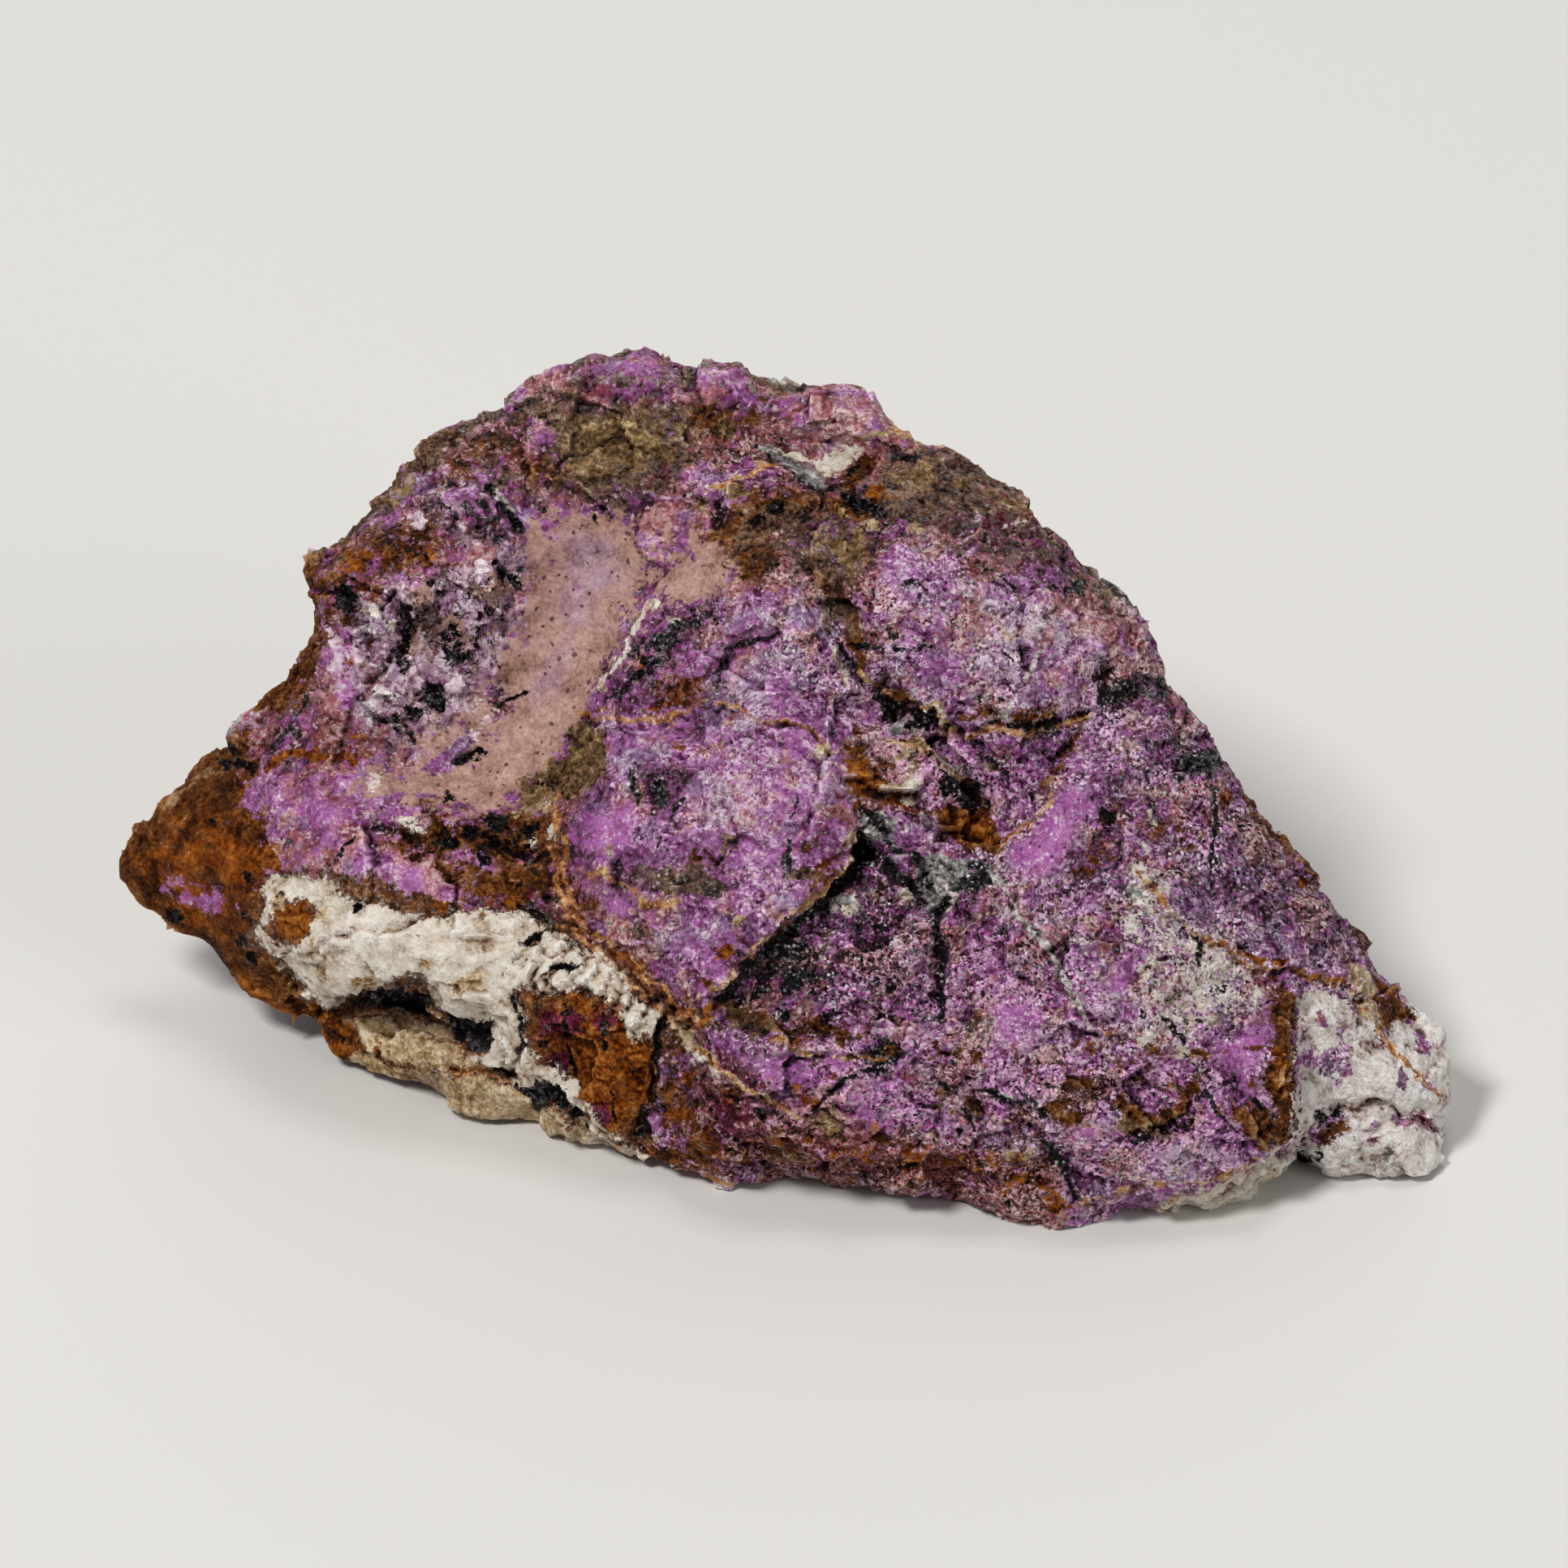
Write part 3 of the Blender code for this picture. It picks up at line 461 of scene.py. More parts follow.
# Where each finish shows on the main face. Kind, size in pixels, strength, places.
facePaint = {
    "tanSkin": [
        area(12, 1.0, (655, 640), (700, 632), (760, 636), (790, 665), (800, 695), (785, 735), (765, 770),
             (748, 820), (733, 850), (720, 885), (705, 925), (670, 955), (640, 985), (600, 1002),
             (560, 995), (520, 990), (470, 985), (445, 975), (440, 958), (480, 945), (530, 950), (575, 925),
             (610, 895), (625, 870), (600, 850), (600, 828), (640, 800), (640, 760), (655, 720),
             (650, 690)),
        area(10, 1.0, (850, 660), (905, 650), (912, 680), (890, 720), (860, 735), (825, 745), (810, 720),
             (835, 690)),
        area(14, 0.85, (590, 780), (650, 760), (650, 900), (600, 935), (500, 940), (480, 900), (530, 885),
             (560, 830)),
        area(14, 0.5, (440, 720), (500, 710), (480, 760), (560, 700), (640, 690), (600, 800), (500, 800),
             (450, 770)),
        line(16, 0.8, (520, 805), (560, 850), (600, 850)),
        area(16, 0.75, (470, 770), (520, 700), (640, 700), (640, 800), (560, 800), (540, 860), (480, 850)),
        area(30, 0.5, (760, 640), (860, 640), (850, 720), (790, 790), (760, 800)),
        area(5, -1.0, (598, 872), (606, 850), (626, 843), (630, 860), (612, 882)),
        area(6, -1.0, (536, 946), (552, 920), (590, 902), (594, 922), (572, 940), (548, 952)),
        area(7, -0.95, (444, 912), (470, 905), (520, 930), (516, 954), (470, 952), (448, 936)),
    ],
    "brownRind": [
        line(44, 1.0, (190, 1160), (140, 1100), (135, 1060), (165, 1005), (230, 950), (300, 925)),
        line(44, 1.0, (170, 1150), (250, 1200), (290, 1225), (350, 1260), (430, 1300), (480, 1320)),
        area(12, 0.6, (210, 1030), (330, 1000), (330, 1080), (300, 1170), (240, 1160), (200, 1110)),
        line(34, 0.95, (545, 545), (470, 612), (420, 655), (378, 700), (388, 760), (375, 820), (330, 860)),
        area(18, 0.7, (440, 650), (520, 650), (540, 700), (480, 730), (410, 720), (400, 690)),
        area(16, 0.55, (540, 560), (620, 510), (680, 500), (660, 560), (600, 600), (540, 620)),
        area(16, 0.9, (640, 560), (700, 560), (720, 595), (650, 600)),
        area(7, 1.0, (1028, 585), (1060, 566), (1082, 570), (1075, 592), (1040, 602)),
        area(8, 0.9, (1600, 1392), (1628, 1374), (1655, 1362), (1664, 1390), (1630, 1402), (1612, 1414)),
        area(14, 0.75, (840, 500), (940, 490), (930, 530), (860, 545), (835, 525)),
        area(16, 0.9, (900, 600), (1010, 600), (1090, 620), (1060, 650), (960, 660), (880, 680),
             (870, 650)),
        area(14, 0.8, (850, 650), (940, 640), (980, 690), (930, 720), (900, 700)),
        line(22, 0.85, (1010, 700), (1040, 740), (1050, 790), (1060, 830)),
        area(16, 0.5, (745, 870), (800, 820), (880, 810), (870, 870), (800, 890), (740, 890)),
        line(15, 0.7, (730, 880), (720, 920), (745, 960)),
        area(16, 0.85, (500, 1000), (600, 1000), (680, 1000), (690, 1050), (620, 1065), (520, 1060),
             (480, 1040)),
        area(14, 0.75, (540, 1060), (680, 1050), (700, 1110), (640, 1130), (560, 1105)),
        line(20, 0.62, (680, 1010), (690, 1080), (720, 1140), (790, 1195), (850, 1250)),
        dabs(22, 0.7, (870, 1060), (1000, 1070), (1010, 1085)),
        area(16, 0.72, (1030, 900), (1070, 915), (1090, 980), (1050, 990), (1030, 950)),
        line(18, 0.58, (1050, 870), (1060, 930), (1100, 985), (1160, 1000), (1215, 1040)),
        line(18, 0.65, (1180, 880), (1250, 880), (1330, 890), (1300, 940), (1280, 985)),
        area(14, 0.5, (1150, 895), (1220, 900), (1240, 960), (1200, 970)),
        dabs(20, 0.7, (1360, 1010), (1420, 1015), (1460, 1025), (1345, 1060), (1330, 1075)),
        area(14, 0.75, (880, 1220), (960, 1240), (1000, 1280), (950, 1290), (890, 1275), (870, 1250)),
        area(12, 0.95, (645, 1228), (700, 1225), (760, 1245), (812, 1290), (812, 1340), (785, 1395),
             (740, 1400), (700, 1370), (660, 1320), (648, 1290)),
        area(16, 0.5, (820, 1290), (860, 1300), (920, 1340), (960, 1370), (950, 1450), (880, 1450),
             (820, 1430), (795, 1400)),
        area(10, 0.85, (790, 1400), (860, 1400), (880, 1435), (840, 1445), (790, 1425)),
        dabs(11, -0.9, (836, 1302), (872, 1328), (845, 1396), (892, 1396), (922, 1412), (935, 1395)),
        area(10, 1.0, (1562, 1210), (1592, 1220), (1598, 1400), (1570, 1410), (1563, 1300)),
        area(8, 1.0, (290, 1165), (330, 1174), (362, 1200), (382, 1230), (410, 1247), (450, 1263),
             (482, 1283), (470, 1310), (430, 1335), (290, 1265)),
        area(8, 0.9, (345, 1135), (398, 1126), (392, 1162), (345, 1166)),
        line(8, 0.7, (480, 1302), (540, 1307), (600, 1313)),
        area(12, 1.0, (1375, 1335), (1420, 1370), (1470, 1320), (1480, 1350), (1440, 1385), (1390, 1405),
             (1372, 1390)),
        area(12, 0.95, (1500, 1325), (1530, 1350), (1562, 1362), (1590, 1400), (1550, 1412), (1512, 1370)),
        area(12, 0.85, (1690, 1185), (1735, 1235), (1760, 1255), (1710, 1275), (1685, 1255)),
        line(14, 0.65, (1400, 1280), (1440, 1300), (1500, 1290), (1550, 1280)),
        line(24, 0.7, (1520, 960), (1560, 1015), (1625, 1075), (1670, 1135), (1720, 1200), (1750, 1240)),
        area(20, 0.45, (950, 1400), (1150, 1440), (1260, 1470), (1180, 1480), (1100, 1450), (980, 1445)),
        area(16, 0.45, (1110, 1390), (1280, 1400), (1290, 1450), (1180, 1440)),
        dabs(20, 0.6, (1160, 1340), (1200, 1360), (1250, 1380), (1180, 1300), (1330, 1300), (1380, 1290)),
        area(14, 0.6, (1130, 1270), (1220, 1290), (1200, 1320), (1120, 1310)),
        area(14, 0.95, (120, 1060), (155, 1000), (230, 945), (310, 920), (300, 980), (330, 1010),
             (330, 1075), (300, 1160), (340, 1200), (430, 1255), (480, 1300), (490, 1345), (400, 1330),
             (280, 1270), (190, 1200), (130, 1120)),
        area(26, 0.6, (370, 700), (470, 620), (560, 620), (560, 700), (470, 740), (410, 830), (370, 830)),
        area(26, 0.36, (430, 760), (640, 690), (640, 800), (560, 900), (460, 920)),
        area(26, 0.5, (480, 990), (700, 1000), (760, 1120), (700, 1140), (560, 1090)),
        area(26, 0.40, (900, 1380), (1280, 1380), (1330, 1500), (1180, 1490), (900, 1450)),
        area(26, 0.32, (1380, 1300), (1590, 1300), (1590, 1420), (1400, 1420)),
        area(26, 0.34, (1040, 840), (1240, 880), (1240, 1040), (1150, 1030), (1050, 960)),
        area(8, 0.95, (1152, 998), (1190, 994), (1214, 1000), (1222, 1026), (1230, 1042), (1204, 1050),
             (1186, 1042), (1156, 1034)),
        area(8, 0.8, (1040, 958), (1080, 962), (1096, 982), (1070, 992), (1044, 980)),
        area(10, 0.7, (1296, 1318), (1345, 1322), (1350, 1342), (1310, 1344)),
        area(12, 0.7, (1005, 1240), (1060, 1262), (1068, 1285), (1010, 1282), (970, 1262)),
        area(10, 0.75, (1290, 1350), (1340, 1356), (1340, 1388), (1296, 1386)),
        area(8, 0.8, (1368, 1335), (1396, 1350), (1400, 1400), (1374, 1396)),
        area(12, 0.5, (1370, 1290), (1408, 1294), (1412, 1336), (1380, 1330)),
        dabs(16, -0.9, (238, 1098), (262, 1108), (222, 1086), (1150, 640), (1200, 690)),
        dabs(9, -0.8, (668, 1262), (700, 1248), (745, 1262), (690, 1320), (742, 1372)),
    ],
    "taupeRind": [
        area(20, 0.75, (1090, 570), (1190, 535), (1270, 580), (1340, 650), (1300, 680), (1200, 660),
             (1060, 650), (1040, 610)),
        area(24, 0.55, (1160, 650), (1320, 650), (1385, 715), (1440, 830), (1350, 780), (1290, 720),
             (1180, 700)),
        line(24, 0.8, (1240, 590), (1300, 632), (1335, 690), (1380, 735)),
        line(26, 0.8, (560, 540), (620, 490), (660, 450), (740, 430), (800, 420), (850, 438), (900, 440)),
        line(22, 0.75, (930, 455), (960, 475), (1030, 465), (1080, 475), (1110, 515), (1180, 545)),
        area(26, 0.6, (560, 540), (700, 450), (860, 440), (900, 480), (760, 500), (640, 560)),
        line(34, 0.8, (560, 540), (500, 590), (440, 645), (395, 690)),
        area(24, 0.85, (680, 505), (760, 485), (850, 500), (880, 560), (820, 612), (720, 620), (670, 580)),
        area(30, 0.5, (560, 560), (640, 520), (690, 600), (660, 640), (560, 620)),
        area(30, 0.4, (470, 610), (560, 590), (560, 680), (470, 700), (410, 740), (400, 700)),
        area(10, 0.95, (765, 1080), (800, 1070), (880, 1074), (903, 1088), (880, 1106), (810, 1108)),
        area(26, 0.62, (870, 620), (1010, 600), (1080, 650), (1060, 740), (960, 720), (880, 700)),
        area(20, 0.6, (550, 600), (620, 590), (640, 660), (600, 690), (550, 680)),
        line(14, 0.75, (1040, 660), (1030, 720), (1046, 780)),
        area(20, 0.36, (1150, 890), (1330, 885), (1300, 960), (1190, 970)),
        area(24, 0.5, (1500, 950), (1560, 1010), (1720, 1200), (1640, 1140), (1560, 1060)),
        area(16, 0.55, (880, 1215), (1000, 1280), (940, 1300), (870, 1260)),
        area(10, 0.7, (952, 1058), (1000, 1056), (1018, 1088), (970, 1086)),
        area(8, 0.7, (886, 1030), (910, 1028), (912, 1050), (890, 1052)),
        area(8, 0.75, (842, 1056), (892, 1060), (902, 1080), (850, 1082)),
        area(8, 0.65, (762, 1136), (800, 1130), (800, 1152), (770, 1158)),
        area(10, 0.7, (1005, 730), (1040, 728), (1045, 765), (1012, 765)),
        dabs(18, 0.6, (1080, 1220), (960, 1200), (1020, 1160), (1190, 1260), (1060, 1385), (1240, 1400)),
    ],
    "base": [
        area(14, 1.0, (318, 1070), (420, 1072), (560, 1108), (700, 1125), (850, 1245), (850, 1290),
             (815, 1300), (800, 1400), (860, 1470), (640, 1480), (470, 1390), (290, 1270), (290, 1150)),
    ],
    "ochre": [
        area(22, 0.74, (705, 505), (740, 498), (800, 505), (838, 520), (852, 545), (835, 575), (790, 592),
             (740, 600), (700, 590), (690, 560), (695, 530)),
        area(12, 0.95, (715, 890), (742, 900), (742, 955), (700, 985), (665, 1000), (640, 1000), (650, 970),
             (700, 930)),
        area(14, 0.8, (1015, 665), (1060, 655), (1090, 665), (1075, 700), (1055, 730), (1030, 700)),
        dabs(12, 0.8, (890, 525), (870, 620), (900, 600), (480, 625), (500, 610)),
        line(12, 0.7, (200, 1000), (240, 965), (290, 940)),
        area(12, 0.7, (880, 1225), (930, 1240), (960, 1262), (900, 1262)),
        area(8, 0.95, (1008, 1364), (1034, 1368), (1042, 1402), (1014, 1406)),
        area(14, 0.75, (1098, 575), (1150, 560), (1140, 612), (1105, 605)),
        area(14, 0.75, (1205, 600), (1290, 612), (1304, 642), (1240, 642)),
        dabs(14, 0.75, (1420, 1390), (1385, 1375), (1190, 600), (860, 1250)),
        area(12, 0.6, (415, 1250), (480, 1270), (520, 1300), (450, 1290)),
    ],
    "rust": [
        area(14, 0.9, (215, 1040), (270, 1030), (350, 1035), (345, 1075), (290, 1090), (230, 1075)),
        area(16, 0.6, (380, 900), (430, 895), (460, 930), (440, 950), (380, 935)),
        line(14, 0.8, (330, 945), (380, 930), (420, 925)),
        area(16, 0.5, (420, 680), (490, 675), (500, 700), (450, 722), (410, 705)),
        dabs(14, 0.7, (445, 700), (540, 762), (480, 850), (446, 905), (520, 690)),
        dabs(9, 0.9, (525, 680), (562, 750), (460, 795), (470, 770), (632, 640), (838, 922), (790, 812)),
        line(10, 0.6, (740, 870), (780, 876), (840, 868), (890, 872)),
        area(6, 1.0, (1062, 608), (1085, 602), (1099, 610), (1080, 618)),
        dabs(9, 0.8, (1360, 840), (1250, 880), (1270, 882), (1770, 1352)),
        area(12, 0.8, (1040, 925), (1075, 935), (1080, 970), (1048, 975)),
        area(12, 0.85, (1160, 995), (1215, 1005), (1225, 1035), (1180, 1035)),
        area(12, 0.85, (330, 1105), (385, 1108), (400, 1135), (380, 1158), (345, 1155), (325, 1130)),
        area(14, 1.0, (700, 1232), (760, 1250), (805, 1300), (800, 1350), (760, 1395), (720, 1370),
             (690, 1320), (660, 1260)),
        dabs(14, 0.8, (850, 1330), (830, 1370), (870, 1400), (900, 1360), (960, 1400)),
        line(12, 0.55, (690, 1060), (700, 1110), (750, 1165), (810, 1215), (860, 1262)),
        area(8, 0.9, (1160, 1000), (1210, 1000), (1218, 1030), (1196, 1044), (1164, 1030)),
        area(5, 0.9, (1076, 978), (1112, 976), (1112, 996), (1080, 996)),
        area(8, 0.7, (1002, 1312), (1032, 1318), (1026, 1338), (1000, 1328)),
        line(9, 0.8, (962, 1268), (990, 1282)),
        line(8, 0.85, (978, 1330), (1002, 1354)),
        line(5, 0.95, (1108, 992), (1130, 1000), (1152, 1006)),
        dabs(10, 0.8, (1012, 1072), (1020, 1062), (890, 1170), (880, 1215), (870, 1245)),
        line(9, 0.8, (1500, 1162), (1560, 1185), (1600, 1198), (1650, 1214)),
        dabs(9, 0.9, (1578, 1310), (1575, 1290), (1582, 1330), (1512, 985), (1600, 1085)),
        line(12, 0.75, (1255, 1448), (1290, 1468), (1320, 1485), (1290, 1492)),
        dabs(14, 0.6, (1350, 1050), (1340, 1290), (1400, 1300), (1440, 1335), (1250, 1300), (1065, 1395)),
        dabs(9, 0.7, (1570, 1290), (1576, 1330), (1366, 1266), (1178, 1370), (1196, 1250), (1282, 1478)),
        area(12, 0.7, (440, 1255), (500, 1270), (535, 1295), (500, 1302), (450, 1285)),
        line(20, 0.9, (300, 1215), (340, 1245), (400, 1275), (450, 1300)),
        line(12, 0.85, (384, 1240), (420, 1262), (462, 1272), (485, 1284)),
        dabs(9, 0.85, (885, 1405), (872, 1412), (832, 1350), (850, 1372), (862, 1258), (845, 1245)),
        dabs(12, 0.6, (585, 1100), (610, 1108), (545, 1108), (640, 1105)),
        area(20, 0.5, (150, 1060), (210, 1000), (300, 960), (340, 1010), (300, 1160), (220, 1150)),
        area(20, 0.46, (900, 1370), (1280, 1400), (1320, 1480), (1100, 1470), (900, 1440)),
        area(18, 0.42, (400, 690), (520, 680), (520, 780), (440, 860), (400, 860)),
        dabs(9, -0.9, (668, 1262), (700, 1248), (745, 1262), (690, 1320), (742, 1372)),
    ],
    "paleChip": [
        area(7, 0.75, (502, 805), (538, 800), (545, 840), (520, 852), (500, 835)),
        area(9, 0.6, (405, 770), (436, 768), (442, 850), (412, 868), (400, 830)),
        area(7, 0.8, (440, 722), (478, 756), (466, 768), (448, 758)),
        area(8, 0.6, (520, 702), (600, 696), (600, 725), (540, 735)),
        dabs(8, 0.8, (545, 725), (560, 732), (588, 750), (610, 756), (455, 825), (470, 858), (575, 600)),
        dabs(8, 0.8, (550, 840), (556, 860), (604, 888), (512, 645), (460, 965), (588, 905), (480, 915)),
        area(9, 0.5, (490, 905), (520, 915), (510, 935), (480, 920)),
        area(24, 0.36, (440, 740), (640, 690), (640, 800), (600, 900), (480, 930), (420, 860)),
        area(30, 0.2, (1120, 740), (1200, 730), (1290, 770), (1290, 860), (1200, 870), (1130, 830)),
        area(20, 0.3, (1110, 1300), (1200, 1315), (1290, 1345), (1280, 1395), (1180, 1380), (1105, 1340)),
        dabs(12, 0.6, (905, 955), (912, 965), (895, 1010), (1105, 1160), (1240, 1130), (1330, 1160)),
        dabs(9, 0.7, (1116, 1014), (1142, 1010), (1148, 1032)),
        dabs(12, 0.55, (880, 600), (900, 590), (1240, 560), (1200, 640), (1250, 650), (870, 1150)),
    ],
    "wine": [
        area(12, 0.8, (885, 1288), (920, 1300), (935, 1325), (900, 1318)),
        dabs(12, 0.7, (742, 478), (820, 582), (1320, 1050), (1545, 1060), (1560, 1075), (665, 1285)),
        dabs(10, 0.7, (882, 1365), (700, 1050), (660, 1095), (690, 1060), (1070, 1440), (675, 1310)),
        line(10, 0.6, (870, 1380), (920, 1400), (930, 1440)),
        area(7, 0.95, (884, 1292), (915, 1300), (944, 1322), (952, 1342), (905, 1325)),
        area(8, 0.9, (878, 1362), (915, 1376), (905, 1394), (882, 1382)),
        line(9, 0.5, (690, 1030), (702, 1060), (720, 1110)),
        dabs(14, 1.0, (674, 1256), (702, 1262), (745, 1256), (690, 1312), (742, 1368)),
        area(22, 0.45, (840, 1300), (940, 1340), (960, 1420), (860, 1420)),
        area(22, 0.4, (1180, 540), (1280, 600), (1330, 700), (1200, 680)),
    ],
    "whiteMatrix": [
        area(8, 1.0, (338, 1078), (375, 1074), (412, 1082), (420, 1102), (455, 1106), (480, 1116),
             (530, 1126), (570, 1118), (640, 1120), (665, 1135), (695, 1155), (730, 1172), (705, 1222),
             (642, 1222), (642, 1292), (665, 1312), (702, 1330), (738, 1378), (765, 1410), (735, 1420),
             (692, 1345), (640, 1332), (606, 1318), (575, 1300), (598, 1288), (610, 1272), (604, 1250),
             (575, 1256), (545, 1248), (525, 1200), (490, 1206), (455, 1222), (405, 1240), (380, 1225),
             (362, 1195), (330, 1172), (316, 1150), (330, 1120), (320, 1100)),
        area(8, -1.0, (330, 1110), (345, 1103), (380, 1106), (396, 1126), (390, 1150), (368, 1164),
             (342, 1162), (328, 1140)),
        area(8, 1.0, (640, 1165), (720, 1168), (770, 1200), (790, 1228), (832, 1246), (805, 1282),
             (784, 1276), (772, 1250), (770, 1232), (745, 1230), (720, 1222), (690, 1218)),
        area(6, 0.9, (846, 1284), (872, 1290), (880, 1306), (905, 1328), (895, 1335), (862, 1312)),
        area(10, 1.0, (1598, 1225), (1640, 1225), (1690, 1262), (1730, 1235), (1790, 1225), (1840, 1330),
             (1815, 1400), (1775, 1480), (1690, 1490), (1600, 1480), (1595, 1400), (1600, 1300)),
        area(10, 0.9, (1425, 1470), (1500, 1452), (1540, 1430), (1590, 1408), (1610, 1470), (1560, 1500),
             (1500, 1520), (1430, 1515)),
        line(20, 0.9, (700, 1355), (730, 1398), (780, 1428), (830, 1450), (890, 1465)),
        dabs(10, 0.9, (522, 1018), (505, 1010), (1120, 1095), (1020, 1110), (1050, 1118)),
        area(6, 1.0, (1003, 566), (1030, 555), (1058, 555), (1054, 571), (1030, 582), (1008, 578)),
        line(8, 0.8, (925, 556), (950, 552), (985, 560), (1005, 566)),
        area(8, -1.0, (1684, 1200), (1712, 1215), (1752, 1250), (1712, 1262), (1700, 1282), (1684, 1270)),
        dabs(12, 0.8, (1395, 1068), (1410, 1085), (1400, 1103), (1425, 1100), (1396, 1132), (1402, 1160),
             (1424, 1190), (1480, 1160), (1492, 1176), (1512, 1186), (1500, 1207), (1532, 1200)),
        dabs(8, 0.7, (1460, 1200), (1486, 1230), (1430, 1130), (1408, 1046), (1470, 1235), (1545, 1222)),
        dabs(9, 0.8, (465, 965), (1415, 1008), (480, 765), (455, 750), (660, 1035), (685, 1030)),
        line(7, 0.9, (802, 745), (780, 775), (768, 800), (750, 830), (742, 845)),
        area(5, 1.0, (1110, 968), (1130, 964), (1134, 984), (1114, 990)),
        area(5, 1.0, (1124, 866), (1146, 868), (1150, 880), (1132, 880)),
        dabs(10, 0.8, (1410, 1200), (1430, 1205), (1470, 1215), (1476, 1190), (1508, 1222), (1450, 1240),
             (1462, 1262), (1452, 1292), (1404, 1276), (1425, 1230), (1490, 1250)),
        area(7, -0.95, (1614, 1262), (1626, 1246), (1640, 1258), (1632, 1270)),
        area(7, -0.95, (1600, 1296), (1618, 1290), (1624, 1312), (1602, 1316)),
        area(7, -0.95, (1624, 1304), (1642, 1286), (1654, 1300), (1650, 1324), (1640, 1336), (1628, 1325)),
        line(7, -0.8, (1652, 1268), (1656, 1290), (1645, 1308)),
        area(7, -0.95, (1712, 1318), (1726, 1310), (1732, 1326), (1722, 1344), (1710, 1340)),
        area(6, -0.9, (1744, 1328), (1760, 1330), (1762, 1346), (1748, 1344)),
        area(7, -0.85, (1738, 1276), (1758, 1272), (1762, 1296), (1746, 1304)),
        area(6, -0.9, (1716, 1378), (1745, 1372), (1774, 1395), (1755, 1400), (1722, 1390)),
        area(7, -0.9, (1604, 1392), (1628, 1374), (1650, 1366), (1662, 1390), (1630, 1402), (1612, 1414)),
        area(7, -0.8, (1764, 1342), (1776, 1342), (1778, 1362), (1768, 1366)),
        dabs(9, -0.7, (1690, 1376), (350, 1150), (372, 1120), (1690, 1408)),
    ],
    "creamVein": [
        line(9, 1.0, (1022, 800), (1034, 825), (1042, 850)),
        line(8, 1.0, (1112, 914), (1138, 918), (1150, 928), (1160, 938)),
        line(7, 0.9, (1118, 925), (1124, 950), (1114, 975)),
        area(4, 1.0, (1080, 972), (1106, 972), (1106, 980), (1084, 982)),
        dabs(8, 0.9, (755, 1052), (903, 1131), (1020, 922), (860, 1232)),
        line(9, 0.95, (1060, 828), (1100, 852), (1140, 872), (1165, 905)),
        line(9, 1.0, (832, 1262), (858, 1290), (900, 1322), (940, 1345)),
        area(10, 0.85, (1655, 1180), (1690, 1185), (1690, 1240), (1700, 1275), (1660, 1250)),
        area(8, 1.0, (440, 1262), (500, 1252), (545, 1262), (568, 1298), (610, 1322), (655, 1346),
             (690, 1372), (735, 1412), (722, 1450), (600, 1430), (520, 1400), (470, 1360), (430, 1310),
             (455, 1290)),
        area(8, -0.75, (468, 1276), (485, 1290), (520, 1305), (600, 1310), (600, 1318), (500, 1316),
             (455, 1300)),
        dabs(10, 0.65, (396, 1148), (390, 1157), (570, 1212), (562, 1222), (442, 1217), (455, 1212),
             (600, 1196), (585, 1205), (520, 1182), (350, 1166)),
        dabs(9, 0.8, (960, 1412), (975, 1422), (1088, 838), (1110, 856), (1150, 872), (1125, 925)),
        dabs(7, 0.7, (1152, 1392), (1160, 1412), (1086, 1362), (1270, 1414), (1196, 1366), (1150, 1362)),
        dabs(12, 0.7, (340, 1110), (400, 1120), (1035, 1372), (1025, 1385), (1115, 535), (1130, 545)),
        line(9, 0.8, (1060, 545), (1100, 535), (1125, 532)),
        line(12, 0.6, (725, 520), (790, 525)),
        dabs(8, 0.7, (885, 600), (905, 590), (930, 570), (1045, 635), (1070, 645), (1105, 935),
             (1125, 955)),
        dabs(10, 0.7, (670, 975), (640, 998), (680, 1000), (1240, 1420), (1395, 860), (1240, 780)),
        dabs(12, 0.6, (1640, 1422), (1560, 1450), (1440, 1480), (1770, 1352)),
        area(6, 0.9, (1060, 638), (1075, 636), (1082, 652), (1066, 650)),
        dabs(8, 0.8, (1034, 634), (1255, 650), (1240, 625), (1130, 648), (1046, 1030), (1040, 1038)),
        line(10, 0.7, (1028, 1052), (1042, 1034), (1048, 1018)),
    ],
    "greyVein": [
        area(6, 0.8, (1186, 1060), (1214, 1074), (1206, 1084), (1182, 1078)),
        area(5, 1.0, (1096, 886), (1114, 884), (1116, 902), (1100, 902)),
        area(5, 0.95, (1152, 944), (1176, 946), (1184, 966), (1164, 966)),
        area(5, 1.0, (1052, 1002), (1084, 1000), (1088, 1026), (1062, 1036)),
        area(5, 1.0, (1128, 1052), (1150, 1048), (1172, 1062), (1170, 1096), (1150, 1104), (1134, 1086)),
        area(8, 0.9, (262, 915), (275, 895), (298, 884), (305, 892), (280, 910), (270, 925)),
        area(7, 0.95, (922, 545), (950, 550), (985, 568), (1022, 590), (1014, 606), (985, 598), (955, 575)),
        area(7, 0.95, (1058, 1000), (1078, 996), (1094, 1008), (1096, 1034), (1078, 1040), (1066, 1026)),
        area(10, 0.55, (1680, 1425), (1715, 1415), (1745, 1430), (1740, 1450), (1690, 1450)),
        line(13, 0.8, (1062, 1005), (1085, 1020), (1105, 1042), (1130, 1062), (1150, 1085)),
        area(5, 1.0, (1133, 1066), (1150, 1050), (1186, 1058), (1188, 1085), (1168, 1108), (1152, 1130),
             (1142, 1116), (1150, 1102), (1134, 1088)),
        dabs(8, 0.85, (1118, 888), (1128, 900), (1172, 945), (1184, 958), (1096, 864), (1240, 884)),
        dabs(10, 0.7, (820, 795), (845, 780), (835, 770), (812, 810), (1395, 850), (1420, 858),
             (1375, 860)),
        dabs(8, 0.8, (925, 475), (955, 462), (965, 462), (1390, 738), (1400, 748), (1470, 940),
             (1485, 950)),
